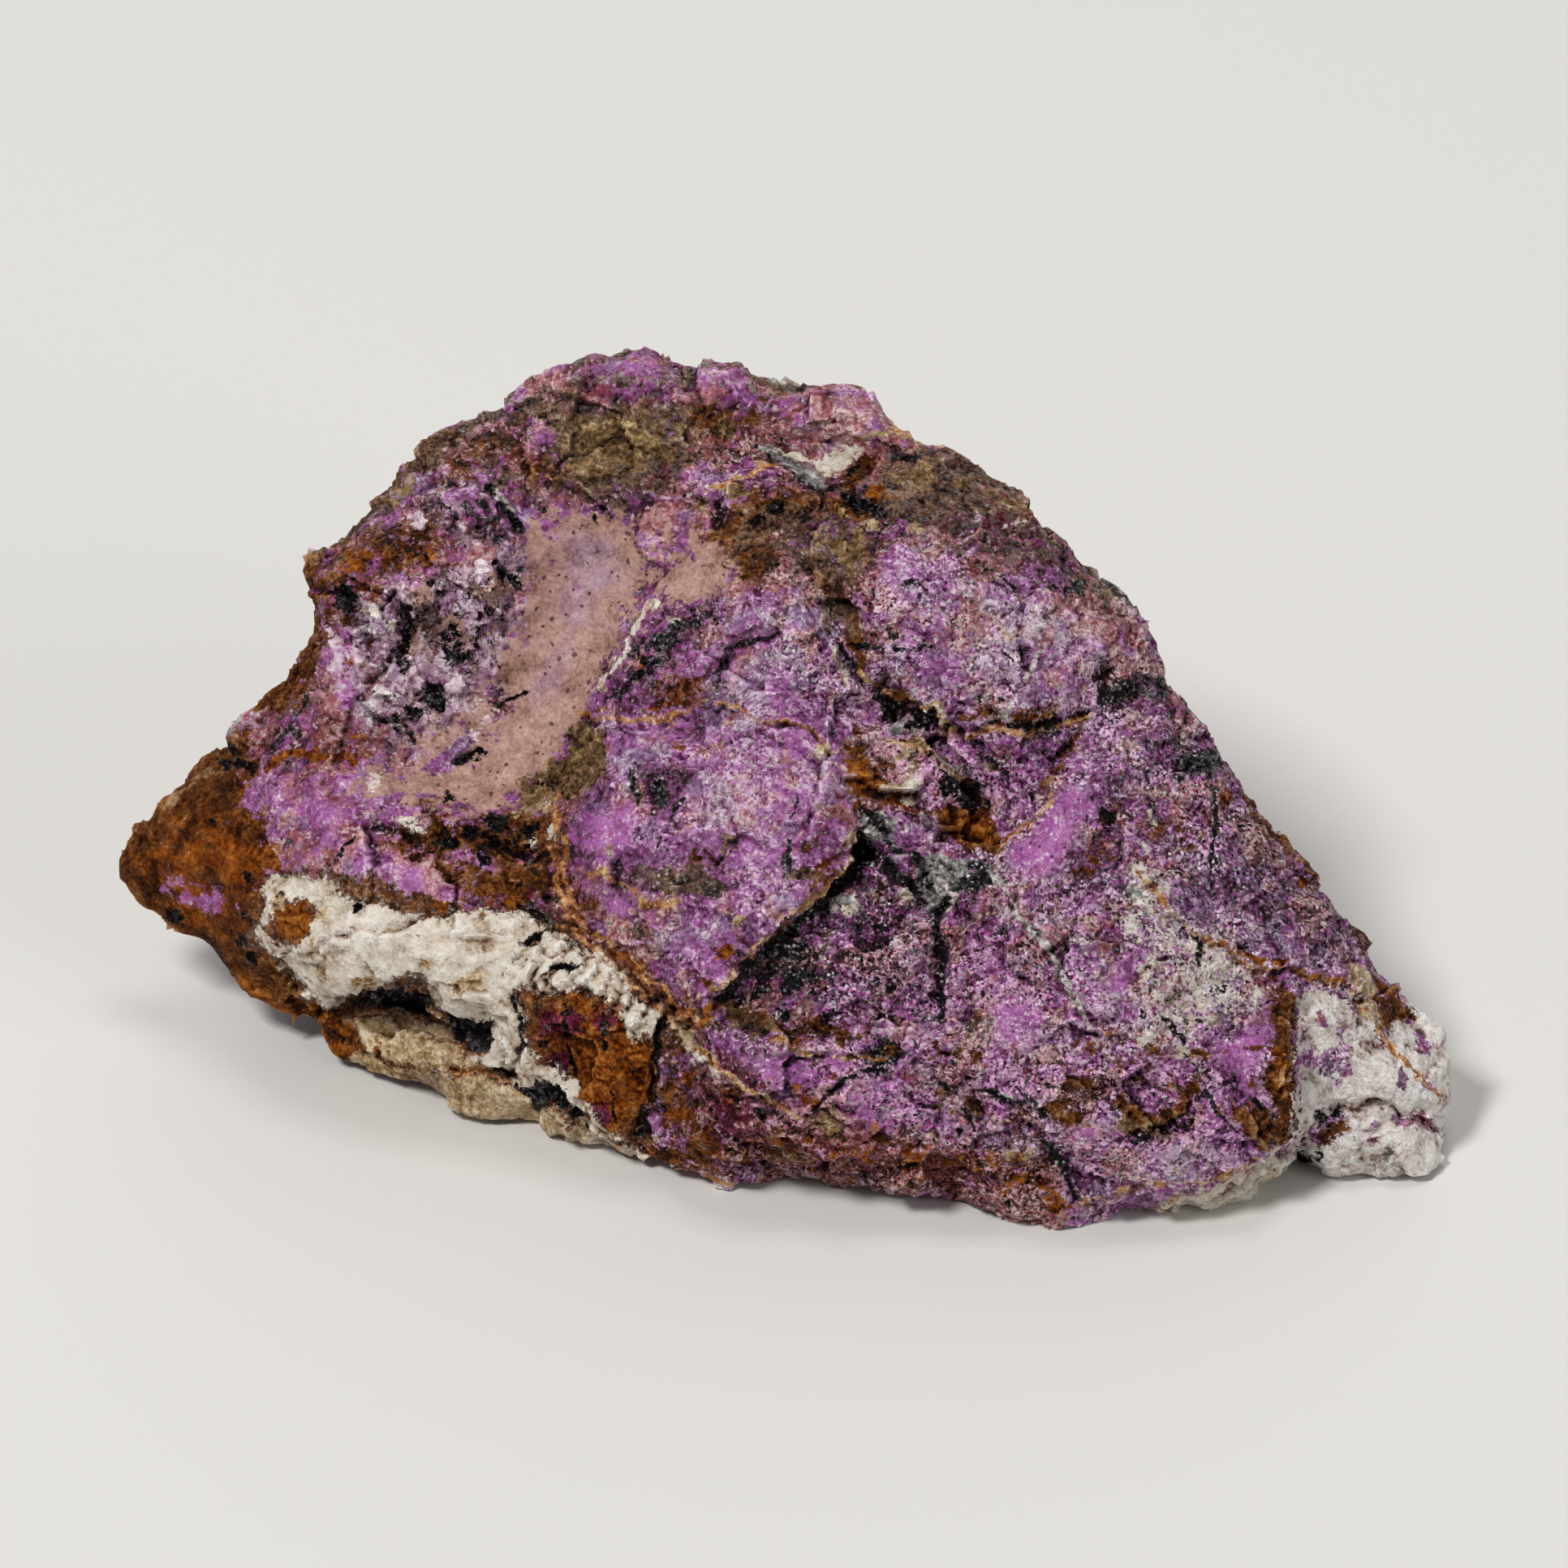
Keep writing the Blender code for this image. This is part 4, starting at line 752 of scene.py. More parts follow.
        dabs(10, 0.6, (1240, 1350), (1262, 1380), (1220, 1375), (1385, 1095), (1400, 1100)),
        line(9, 0.7, (1012, 1108), (1045, 1112)),
        line(11, 0.92, (1205, 1070), (1228, 1094), (1262, 1130), (1291, 1168), (1312, 1206), (1334, 1250)),
    ],
    # black veins, and black laid as painted shade in the cracks, the holes and the slots under the white
    # band
    "blackVeinAndShade": [
        area(14, 0.62, (872, 742), (885, 762), (852, 800), (822, 822), (792, 850), (762, 872), (738, 880),
             (735, 862), (762, 825), (782, 785), (815, 760)),
        dabs(8, 0.65, (490, 755), (498, 775), (488, 800), (502, 812), (550, 790), (575, 815), (585, 830)),
        dabs(10, 1.0, (525, 862), (538, 874), (516, 880), (565, 785)),
        dabs(5, 0.9, (620, 715), (640, 725), (610, 700), (625, 765), (600, 775), (600, 720), (470, 882),
             (495, 910), (460, 850), (550, 735), (535, 720), (580, 740), (645, 705), (560, 765), (420, 745),
             (500, 905), (560, 600), (672, 625), (735, 640)),
        area(22, 0.36, (480, 740), (640, 690), (650, 800), (590, 850), (490, 820)),
        area(18, 0.45, (540, 610), (600, 595), (640, 650), (620, 690), (550, 680)),
        line(10, 1.0, (598, 598), (622, 622), (645, 655)),
        line(6, 1.0, (565, 938), (597, 928)),
        dabs(6, 1.0, (561, 981), (610, 1000)),
        dabs(11, 0.9, (560, 1035), (585, 1020), (620, 1010), (655, 1022), (648, 1050), (600, 1052)),
        area(16, 0.45, (500, 1000), (680, 1000), (680, 1060), (520, 1060)),
        line(8, 0.85, (330, 940), (350, 905), (368, 870), (385, 850)),
        dabs(9, 0.9, (290, 922), (303, 938), (280, 940)),
        dabs(9, 0.85, (300, 1072), (258, 1012), (215, 1130), (300, 1160), (312, 1182), (440, 1115)),
        line(5, 0.95, (408, 1065), (425, 1045), (440, 1028)),
        # painted shade in the slots under the white band
        area(4, 1.0, (402, 1244), (440, 1230), (478, 1218), (492, 1210), (502, 1222), (530, 1221),
             (541, 1236), (532, 1249), (512, 1240), (500, 1251), (478, 1246), (450, 1238)),
        area(4, 0.95, (546, 1250), (575, 1259), (606, 1252), (611, 1272), (600, 1288), (580, 1298),
             (566, 1288), (555, 1268)),
        area(4, 1.0, (640, 1336), (690, 1334), (704, 1352), (722, 1388), (700, 1378), (686, 1356),
             (672, 1368), (655, 1350)),
        line(5, 0.95, (604, 1321), (625, 1328), (648, 1335)),
        area(4, 1.0, (645, 1163), (654, 1149), (671, 1144), (669, 1158), (655, 1169)),
        area(4, 1.0, (805, 1280), (818, 1262), (832, 1248), (834, 1256), (820, 1275)),
        area(4, 1.0, (1076, 850), (1092, 852), (1104, 872), (1098, 888), (1082, 884)),
        area(4, 1.0, (1114, 874), (1136, 876), (1134, 896), (1118, 896)),
        area(4, 1.0, (1154, 968), (1186, 970), (1190, 986), (1160, 986)),
        area(4, 1.0, (1178, 990), (1202, 990), (1200, 1002), (1180, 1000)),
        line(9, 0.9, (1100, 1040), (1124, 1052), (1130, 1070)),
        line(8, 1.0, (1070, 1038), (1096, 1060), (1124, 1088), (1144, 1106)),
        area(12, 0.6, (1080, 1036), (1120, 1040), (1130, 1066), (1100, 1060)),
        area(16, 0.26, (1395, 1170), (1540, 1185), (1540, 1235), (1470, 1310), (1390, 1290)),
        dabs(8, 0.6, (666, 1282), (676, 1290), (700, 1302), (778, 1320), (786, 1300)),
        line(8, 1.0, (814, 1290), (808, 1340), (788, 1398)),
        # painted shade in the crack beside the heart
        line(12, 1.0, (888, 1234), (930, 1182), (970, 1147), (1005, 1120), (1040, 1082), (1064, 1050)),
        area(14, 0.58, (885, 1236), (950, 1160), (1010, 1122), (1045, 1130), (1005, 1180), (1030, 1205),
             (1022, 1235), (960, 1232), (930, 1250)),
        area(8, 0.8, (1056, 1296), (1078, 1282), (1112, 1284), (1108, 1308), (1066, 1318)),
        dabs(8, 0.8, (1010, 1212), (1028, 1248), (1018, 1252), (1060, 1140), (985, 1180)),
        area(4, 1.0, (1040, 1060), (1054, 1028), (1064, 1034), (1088, 1056), (1080, 1070), (1050, 1064)),
        area(5, 1.0, (1180, 1086), (1208, 1078), (1216, 1090), (1198, 1100), (1178, 1106)),
        area(5, 0.95, (1110, 1042), (1136, 1050), (1130, 1064), (1118, 1060)),
        area(5, 0.72, (482, 745), (505, 748), (508, 790), (500, 828), (486, 812), (492, 780)),
        area(5, 0.8, (514, 862), (530, 846), (547, 848), (546, 872), (518, 878)),
        area(5, 0.68, (540, 776), (565, 780), (598, 805), (596, 825), (560, 828), (550, 800)),
        area(8, 0.5, (602, 692), (626, 690), (650, 730), (632, 738), (606, 722)),
        area(5, 0.7, (468, 884), (500, 876), (520, 905), (512, 925), (490, 905)),
        area(4, 1.0, (560, 938), (595, 926), (598, 932), (570, 944)),
        area(5, 0.9, (412, 722), (440, 722), (444, 756), (426, 760)),
        area(5, 0.95, (602, 1004), (632, 1000), (628, 1018), (606, 1020)),
        line(12, 0.8, (1062, 1000), (1088, 1022), (1103, 1045), (1130, 1067), (1150, 1092)),
        dabs(9, 0.9, (1197, 1078), (1206, 1090), (1182, 1098)),
        line(9, 1.0, (1150, 1132), (1164, 1114), (1185, 1100), (1212, 1088)),
        line(9, 1.0, (1152, 1128), (1158, 1160), (1156, 1200), (1153, 1252)),
        dabs(12, 1.0, (1093, 853), (1103, 868), (1135, 888), (1170, 963), (1184, 980), (1198, 998)),
        line(10, 0.65, (1160, 902), (1200, 898), (1250, 892), (1300, 895), (1335, 880)),
        area(12, 0.7, (1345, 808), (1375, 822), (1440, 838), (1450, 862), (1400, 868), (1380, 882),
             (1345, 875), (1330, 850)),
        area(10, 0.8, (1450, 925), (1500, 928), (1514, 955), (1470, 965), (1452, 955)),
        line(12, 0.8, (1358, 715), (1385, 733), (1405, 752)),
        area(5, 0.95, (1104, 566), (1142, 552), (1132, 570), (1108, 576)),
        area(6, 1.0, (1040, 605), (1062, 612), (1068, 632), (1046, 628)),
        area(6, 0.95, (1084, 838), (1100, 846), (1116, 862), (1104, 880), (1088, 866)),
        area(6, 0.95, (1126, 880), (1150, 882), (1146, 900), (1134, 896)),
        area(6, 0.9, (1162, 962), (1190, 972), (1214, 998), (1196, 1010), (1174, 990)),
        area(8, 0.8, (1256, 885), (1310, 880), (1330, 894), (1300, 908), (1260, 906)),
        line(7, 0.8, (925, 545), (945, 572), (985, 592), (1010, 603), (1035, 590), (1060, 578)),
        dabs(13, 0.8, (1060, 626), (1080, 630), (1045, 608), (1000, 632), (960, 622), (932, 640)),
        dabs(9, 0.85, (1350, 1005), (1362, 1015), (1495, 1055), (1200, 900), (1095, 780), (1125, 725)),
        line(10, 0.9, (1285, 1403), (1305, 1435), (1327, 1472)),
        line(8, 0.75, (1385, 1396), (1432, 1386), (1472, 1352)),
        dabs(8, 0.85, (1625, 1378), (1642, 1370), (1618, 1418), (1600, 1425), (940, 1365), (970, 1250)),
        line(6, 0.7, (662, 965), (700, 985)),
        line(6, 0.8, (787, 948), (782, 975), (777, 1000)),
        line(7, 0.75, (840, 985), (822, 1012), (812, 1042)),
        area(5, 0.95, (1003, 1092), (1040, 1088), (1035, 1102), (1010, 1106)),
        line(7, 0.8, (1040, 795), (1085, 796), (1140, 800)),
        line(7, 0.8, (1180, 690), (1215, 702), (1248, 724)),
        area(6, 0.85, (1290, 716), (1330, 712), (1332, 728), (1300, 732)),
        dabs(5, 0.9, (1132, 729), (1206, 858), (1228, 862), (1100, 782)),
        area(20, 0.4, (1120, 1390), (1290, 1390), (1290, 1440), (1180, 1440)),
        area(18, 0.38, (880, 700), (990, 660), (1010, 700), (930, 740), (890, 760)),
        area(22, 0.22, (930, 1140), (1150, 1100), (1150, 1240), (1000, 1260)),
        line(9, 0.72, (1372, 1400), (1400, 1402), (1445, 1390), (1478, 1360), (1492, 1325)),
        line(9, 0.66, (1160, 1300), (1200, 1324), (1250, 1340), (1290, 1374)),
        line(8, 0.66, (1495, 1300), (1520, 1335), (1553, 1358)),
        area(22, 0.3, (1420, 1040), (1500, 1040), (1650, 1150), (1640, 1200), (1500, 1150)),
        dabs(6, 0.85, (1085, 1140), (1075, 1090), (1010, 1180), (1030, 1205), (1090, 1215), (1230, 1150)),
        dabs(6, 0.8, (1370, 1330), (1245, 1195), (1205, 1225), (1195, 1235), (1400, 1250), (1475, 1255)),
    ],
}

# Veins and cracks thinner than the mesh. Each is laid as the distance to it, with a sign for its side.
thinLines = {
    "ironLines": [
        [(722, 882), (765, 888), (820, 888), (860, 872), (885, 866), (905, 875)],
        [(905, 878), (950, 890), (1000, 902), (1028, 925)],
        [(1440, 1130), (1500, 1165), (1530, 1187), (1600, 1202), (1650, 1216), (1680, 1250), (1712, 1287),
         (1750, 1330), (1775, 1362)],
        [(1060, 828), (1100, 852), (1140, 872), (1165, 905)],
        [(1095, 905), (1140, 925), (1175, 955), (1205, 990)],
        [(832, 1262), (858, 1290), (900, 1322), (940, 1345), (985, 1372)],
        [(808, 1292), (811, 1330), (800, 1368), (788, 1392)],
        [(762, 1410), (800, 1434), (860, 1446), (905, 1456)],
        [(1330, 1482), (1380, 1472), (1420, 1458), (1480, 1450), (1510, 1440), (1540, 1425)],
        [(700, 1030), (698, 1075), (718, 1125), (762, 1170), (815, 1212), (858, 1258)],
        [(690, 985), (684, 1040), (690, 1090), (715, 1150), (770, 1200), (830, 1248)],
        [(884, 1225), (925, 1172), (970, 1130), (1010, 1100), (1040, 1070), (1050, 1045)],
        [(1165, 908), (1230, 900), (1300, 896), (1338, 882)],
        [(1100, 530), (1130, 542), (1180, 553), (1240, 590)],
        [(1398, 1075), (1440, 1130)],
        [(1578, 1280), (1584, 1345)],
        [(1108, 1290), (1060, 1304), (1000, 1298), (960, 1280)],
        [(560, 1310), (610, 1322), (650, 1328)],
        [(1290, 985), (1250, 1020), (1222, 1050)],
        [(880, 600), (915, 590), (940, 575)],
        [(733, 1075), (763, 1092), (795, 1113), (838, 1113)],
    ],
    # dark cracks: mostly painted shade laid along the grooves
    "darkLines": [
        [(1497, 972), (1495, 1040), (1488, 1102)],
        [(1052, 1022), (1076, 1046), (1102, 1069), (1130, 1096), (1142, 1114)],
        [(565, 938), (597, 928)],
        [(612, 870), (632, 862), (660, 855), (668, 846)],
        [(612, 1202), (640, 1188), (655, 1184)],
        [(672, 1206), (704, 1187)],
        [(645, 1163), (672, 1146)],
        [(1000, 1357), (1025, 1336), (1060, 1313), (1100, 1300)],
        [(1160, 1335), (1185, 1362), (1200, 1392)],
        [(1290, 1335), (1325, 1345), (1340, 1340)],
        [(1215, 1345), (1262, 1362), (1290, 1380)],
        [(785, 948), (778, 990)],
        [(812, 962), (806, 1000), (792, 1035)],
        [(640, 1225), (641, 1292)],
        [(816, 1290), (810, 1340), (788, 1398)],
        [(955, 785), (930, 792), (900, 805), (885, 830), (875, 852)],
        [(888, 1234), (930, 1182), (970, 1147), (1005, 1120), (1040, 1082), (1064, 1050)],
        [(1152, 1128), (1158, 1160), (1156, 1200), (1153, 1252)],
        [(1232, 800), (1246, 814)],
        [(1286, 1403), (1305, 1435), (1327, 1472)],
        [(1430, 1250), (1480, 1330), (1500, 1372)],
        [(1012, 740), (1030, 790), (1052, 826)],
        [(1080, 1200), (1085, 1250), (1100, 1262)],
        [(410, 1112), (455, 1100)],
        [(982, 985), (973, 1030), (968, 1078)],
        [(694, 1242), (700, 1290), (716, 1335)],
        [(742, 1246), (752, 1310), (765, 1380)],
        [(1466, 1150), (1472, 1185), (1468, 1225)],
    ],
    "paleLines": [
        [(1222, 1088), (1260, 1128), (1290, 1168), (1312, 1208), (1335, 1252), (1350, 1290)],
        [(1022, 798), (1034, 825), (1043, 852)],
        [(1236, 880), (1262, 840), (1284, 806)],
        [(1132, 864), (1158, 882)],
        [(612, 606), (642, 634)],
        [(392, 1168), (425, 1153), (470, 1141), (515, 1124)],
        [(1048, 1110), (1060, 1134)],
        [(1160, 1086), (1176, 1110), (1162, 1130)],
    ],
}

lineReach = {"most": 60.0, "near": 18.0}  # pixels

# Lighter and darker purple on the main face. Strength adds to the tone, and below zero it darkens.
faceTone = [
    area(30, 0.20, (1065, 700), (1130, 680), (1200, 720), (1300, 740), (1390, 750), (1415, 810),
         (1400, 850), (1300, 870), (1200, 885), (1150, 860), (1100, 830), (1070, 780)),
    area(30, 0.14, (960, 720), (1020, 720), (1030, 800), (1000, 850), (930, 870), (880, 850), (900, 800),
         (940, 780)),
    area(20, 0.22, (755, 905), (830, 900), (830, 940), (790, 955), (755, 945)),
    area(40, 0.10, (830, 980), (1000, 900), (1040, 1000), (1000, 1090), (830, 1060)),
    dabs(30, 0.20, (905, 960), (870, 1000), (900, 1035), (990, 930)),
    dabs(26, -0.25, (800, 985), (815, 965), (700, 1030)),
    area(26, 0.10, (345, 975), (420, 985), (450, 1030), (400, 1060), (350, 1030)),
    dabs(26, 0.10, (510, 1080), (530, 1060)),
    area(20, 0.16, (405, 770), (440, 775), (440, 870), (400, 860)),
    dabs(18, 0.22, (525, 815), (570, 855), (455, 860), (540, 700), (580, 690)),
    area(14, 0.05, (290, 890), (340, 860), (350, 900), (320, 935)),
    dabs(14, -0.30, (565, 598), (625, 578), (600, 545), (700, 500), (612, 860), (625, 850), (520, 630)),
    dabs(18, -0.35, (240, 1100), (270, 1105), (215, 1100)),
    dabs(26, 0.10, (800, 470), (900, 470), (1000, 520), (1050, 540), (520, 590), (880, 575)),
    area(26, -0.22, (1050, 1060), (1100, 1070), (1120, 1120), (1080, 1180), (1030, 1160), (1040, 1100)),
    dabs(16, -0.20, (1065, 1085), (1070, 1110), (1175, 1150), (1180, 1120)),
    area(30, -0.20, (930, 1180), (1010, 1130), (1020, 1200), (960, 1250)),
    area(36, -0.08, (930, 1210), (1060, 1060), (1150, 1110), (1150, 1250), (1060, 1290)),
    dabs(30, 0.18, (1260, 1070), (1280, 1080), (1250, 1255), (1240, 1100)),
    area(30, 0.06, (1395, 1085), (1440, 1110), (1520, 1180), (1520, 1250), (1430, 1220), (1390, 1150)),
    area(26, -0.10, (1440, 1060), (1500, 1040), (1650, 1150), (1640, 1190), (1500, 1140)),
    dabs(24, 0.16, (1480, 1000), (1530, 1020), (1300, 1330), (1230, 1330), (1140, 1290)),
    dabs(20, -0.16, (1350, 1360), (1200, 1110), (1230, 1120), (1060, 1440), (1340, 1480)),
    area(10, 0.16, (1500, 1300), (1554, 1250), (1558, 1355)),
    area(8, -0.32, (795, 960), (816, 958), (812, 992), (796, 992)),
    area(6, -0.28, (1240, 735), (1255, 735), (1254, 760), (1244, 758)),
    area(12, 0.12, (1210, 1240), (1270, 1226), (1292, 1250), (1270, 1282), (1220, 1278)),
    # darker along the grooves and ledges: painted shade in the crevices
    line(12, -0.22, (1495, 1300), (1520, 1335), (1555, 1362)),
    line(14, -0.24, (1285, 1400), (1310, 1430), (1335, 1465)),
    line(12, -0.20, (1290, 1330), (1320, 1348), (1350, 1330), (1365, 1360)),
    line(10, -0.20, (1372, 1400), (1400, 1402), (1445, 1388), (1490, 1398)),
    line(10, -0.18, (1160, 1300), (1200, 1322), (1250, 1338), (1290, 1372)),
    dabs(24, 0.12, (1000, 1290), (1060, 1300), (1140, 1240), (1350, 1140), (1100, 1360), (1150, 1390)),
    dabs(22, -0.14, (920, 720), (860, 850), (820, 850), (1150, 700), (1330, 730), (1230, 920)),
    area(30, -0.16, (1090, 545), (1190, 540), (1300, 620), (1350, 710), (1280, 700), (1180, 660),
         (1040, 650)),
    area(30, -0.12, (1330, 700), (1420, 780), (1540, 960), (1700, 1180), (1640, 1140), (1440, 930)),
    area(30, -0.10, (480, 1000), (700, 1010), (760, 1120), (640, 1120)),
    area(30, 0.15, (1100, 1200), (1350, 1180), (1480, 1300), (1500, 1440), (1300, 1440), (1150, 1330)),
    area(30, 0.10, (900, 1290), (1150, 1300), (1300, 1400), (1540, 1380), (1540, 1450), (1000, 1430)),
    area(30, 0.14, (1300, 1390), (1560, 1380), (1560, 1450), (1330, 1470)),
    area(30, 0.26, (1050, 880), (1240, 890), (1240, 1040), (1100, 1030)),
    area(30, 0.10, (330, 960), (480, 1000), (560, 1090), (340, 1070)),
]

# Where the purple is browned by a film of dirt, and where it is cool and greyish.
dustPaint = [
    area(26, 1.0, (1090, 545), (1190, 540), (1300, 620), (1340, 700), (1300, 720), (1180, 670),
         (1040, 650)),
    area(26, 1.0, (520, 600), (700, 450), (1090, 460), (1120, 560), (900, 640), (640, 650)),
    area(26, 0.9, (320, 900), (420, 960), (520, 1060), (700, 1110), (560, 1110), (340, 1070)),
    area(26, 0.8, (380, 760), (480, 690), (650, 680), (650, 800), (600, 890), (520, 940), (400, 920)),
    area(26, 0.9, (880, 600), (1100, 600), (1100, 760), (1040, 830), (960, 700), (880, 680)),
    area(22, 0.9, (380, 700), (470, 620), (600, 600), (620, 680), (480, 720), (420, 760)),
    area(26, 0.8, (1030, 820), (1240, 900), (1240, 1030), (1160, 1040), (1040, 980)),
    area(26, 0.7, (480, 1000), (700, 1000), (780, 1160), (860, 1250), (760, 1190), (640, 1120),
         (500, 1080)),
    area(26, 1.5, (830, 1290), (960, 1360), (1180, 1400), (1320, 1460), (1280, 1500), (1000, 1470),
         (860, 1440)),
    area(26, 0.1, (1380, 1290), (1590, 1280), (1590, 1420), (1400, 1430)),
    area(26, 0.7, (1300, 700), (1420, 780), (1520, 940), (1700, 1180), (1640, 1150), (1440, 900),
         (1320, 760)),
    dabs(30, 0.8, (950, 985), (1190, 1270), (1060, 1380), (1230, 920), (300, 1100), (1000, 1180),
         (700, 740)),
    area(30, 0.5, (900, 1230), (1040, 1110), (1140, 1160), (1120, 1260), (980, 1290)),
]
coolPaint = [
    area(22, 0.9, (750, 900), (835, 895), (835, 950), (780, 965), (750, 950)),
    area(26, 0.6, (870, 900), (990, 905), (1000, 960), (900, 970)),
    area(30, 0.7, (960, 720), (1030, 720), (1030, 830), (940, 870), (890, 830), (930, 760)),
    area(40, 0.35, (1180, 740), (1330, 740), (1400, 820), (1300, 860), (1200, 850)),
    area(26, 0.6, (1440, 1040), (1530, 1030), (1640, 1140), (1560, 1170), (1450, 1110)),
    area(26, 0.3, (1120, 1290), (1290, 1340), (1290, 1400), (1120, 1360)),
    area(26, 0.7, (540, 610), (640, 620), (630, 690), (560, 690)),
    dabs(26, 0.7, (1240, 1180), (1090, 1160), (430, 850), (520, 620), (1440, 1180)),
    area(26, 0.15, (400, 740), (480, 690), (650, 680), (650, 800), (600, 890), (520, 930), (420, 900)),
    area(6, 1.0, (536, 946), (552, 920), (590, 902), (594, 922), (572, 940), (548, 952)),
    dabs(30, 0.9, (1405, 1085), (1410, 1140), (1480, 1175), (1520, 1195)),
    area(12, 1.0, (440, 905), (470, 900), (524, 930), (516, 958), (470, 956), (444, 936)),
    area(20, 1.0, (1596, 1215), (1700, 1225), (1800, 1225), (1840, 1330), (1790, 1500), (1590, 1490)),
]
# Where pale grains show; they also stand in as painted glints on the crystals.
paleGrains = [
    area(30, 0.80, (1110, 730), (1200, 730), (1290, 760), (1300, 860), (1200, 870), (1130, 830)),
    area(40, 0.55, (1060, 670), (1400, 740), (1420, 870), (1180, 900), (1060, 800)),
    area(18, 1.7, (1385, 1080), (1440, 1110), (1535, 1180), (1545, 1230), (1500, 1260), (1470, 1310),
         (1440, 1290), (1390, 1285), (1405, 1230), (1430, 1210), (1390, 1150)),
    area(12, 1.9, (1385, 1058), (1420, 1070), (1448, 1108), (1425, 1135), (1400, 1110)),
    area(12, 1.9, (1468, 1145), (1510, 1160), (1545, 1190), (1540, 1212), (1490, 1205), (1466, 1180)),
    area(30, 1.0, (1100, 1300), (1200, 1315), (1290, 1345), (1290, 1395), (1180, 1385), (1105, 1345)),
    area(40, 0.35, (830, 980), (1000, 920), (1030, 1010), (960, 1080), (830, 1060)),
    area(26, 0.7, (1060, 850), (1180, 920), (1220, 990), (1150, 980), (1080, 930)),
    area(34, 0.8, (430, 760), (500, 700), (640, 690), (650, 800), (600, 880), (520, 930), (440, 900)),
    area(50, 0.5, (1400, 900), (1640, 1140), (1600, 1190), (1400, 1060)),
    area(50, 0.25, (1100, 1150), (1340, 1120), (1400, 1280), (1100, 1260)),
    area(34, 0.6, (1120, 1080), (1330, 1080), (1340, 1240), (1180, 1240)),
    dabs(30, 0.8, (905, 960), (890, 975), (1100, 1110), (560, 600), (470, 1010), (1330, 1150)),
    area(40, 0.35, (560, 560), (1000, 470), (1080, 560), (900, 640), (640, 640)),
]

coarse = [  # where the crystals are coarse and bright
    area(45, 1.0, (900, 780), (1080, 660), (1400, 740), (1760, 1200), (1700, 1490), (900, 1480),
         (760, 1300), (960, 1120), (1040, 1010), (1000, 880)),
    area(45, 0.6, (740, 900), (1040, 880), (1050, 1050), (880, 1240), (700, 1080)),
    area(40, 1.5, (860, 1300), (1120, 1240), (1480, 1290), (1600, 1430), (1300, 1500), (900, 1460)),
    area(40, 1.5, (1040, 860), (1240, 880), (1330, 900), (1280, 1000), (1180, 1040), (1060, 1040)),
    area(40, 1.4, (920, 1240), (1060, 1060), (1330, 1100), (1420, 1300), (1100, 1300)),
    area(40, 1.4, (1400, 900), (1500, 920), (1700, 1180), (1640, 1200), (1420, 1090)),
]

lilacSkin = [
    area(12, 1.0, (1322, 965), (1345, 1000), (1312, 1058), (1290, 1088), (1250, 1080), (1232, 1052),
         (1282, 1000)),
    dabs(24, 0.75, (400, 1000), (385, 990), (510, 1082), (735, 1010), (720, 1030), (1250, 1258)),
    dabs(18, 0.7, (945, 1310), (960, 1330), (1375, 1210), (1060, 1370), (1130, 1024)),
    area(10, 0.9, (1490, 1288), (1554, 1252), (1558, 1360), (1530, 1338)),
    area(10, 0.8, (955, 905), (990, 905), (1012, 935), (975, 945)),
    area(14, 0.85, (722, 1000), (765, 985), (790, 1020), (790, 1065), (750, 1060), (725, 1040)),
    area(10, 0.8, (736, 1090), (770, 1105), (800, 1125), (780, 1132), (750, 1125)),
    area(10, 0.9, (1130, 812), (1180, 806), (1182, 834), (1136, 838)),
    area(12, 0.9, (1318, 1386), (1356, 1390), (1362, 1414), (1330, 1418)),
    area(14, 0.7, (930, 1290), (1000, 1290), (1014, 1330), (985, 1345), (945, 1332)),
    area(14, 0.65, (1048, 1364), (1100, 1364), (1112, 1400), (1090, 1420), (1050, 1400)),
    area(8, 0.9, (1004, 1296), (1040, 1288), (1052, 1304), (1034, 1322), (1008, 1310)),
    area(16, 0.9, (1210, 1240), (1270, 1226), (1292, 1250), (1270, 1282), (1220, 1278)),
    dabs(20, 0.6, (800, 1130), (740, 1090), (1150, 820), (990, 520), (960, 570), (890, 470)),
    area(20, 0.9, (690, 650), (760, 650), (770, 720), (720, 790), (690, 850), (660, 860), (690, 760)),
    area(30, 0.8, (140, 1060), (175, 1000), (240, 950), (310, 960), (320, 1100), (310, 1200), (400, 1270),
         (250, 1230), (160, 1140)),
    area(9, 0.95, (400, 782), (450, 790), (452, 880), (410, 870)),
    area(50, 0.42, (730, 1000), (800, 910), (1000, 900), (1040, 1000), (1000, 1090), (880, 1220),
         (780, 1130)),
    area(40, 0.5, (330, 980), (420, 970), (480, 1020), (450, 1070), (350, 1060)),
    area(40, 0.3, (1060, 680), (1380, 730), (1410, 850), (1200, 890), (1060, 800)),
    area(30, 0.4, (920, 1270), (1130, 1250), (1200, 1300), (1180, 1400), (960, 1370)),
    area(30, 0.4, (1180, 1160), (1290, 1170), (1300, 1280), (1200, 1280)),
]

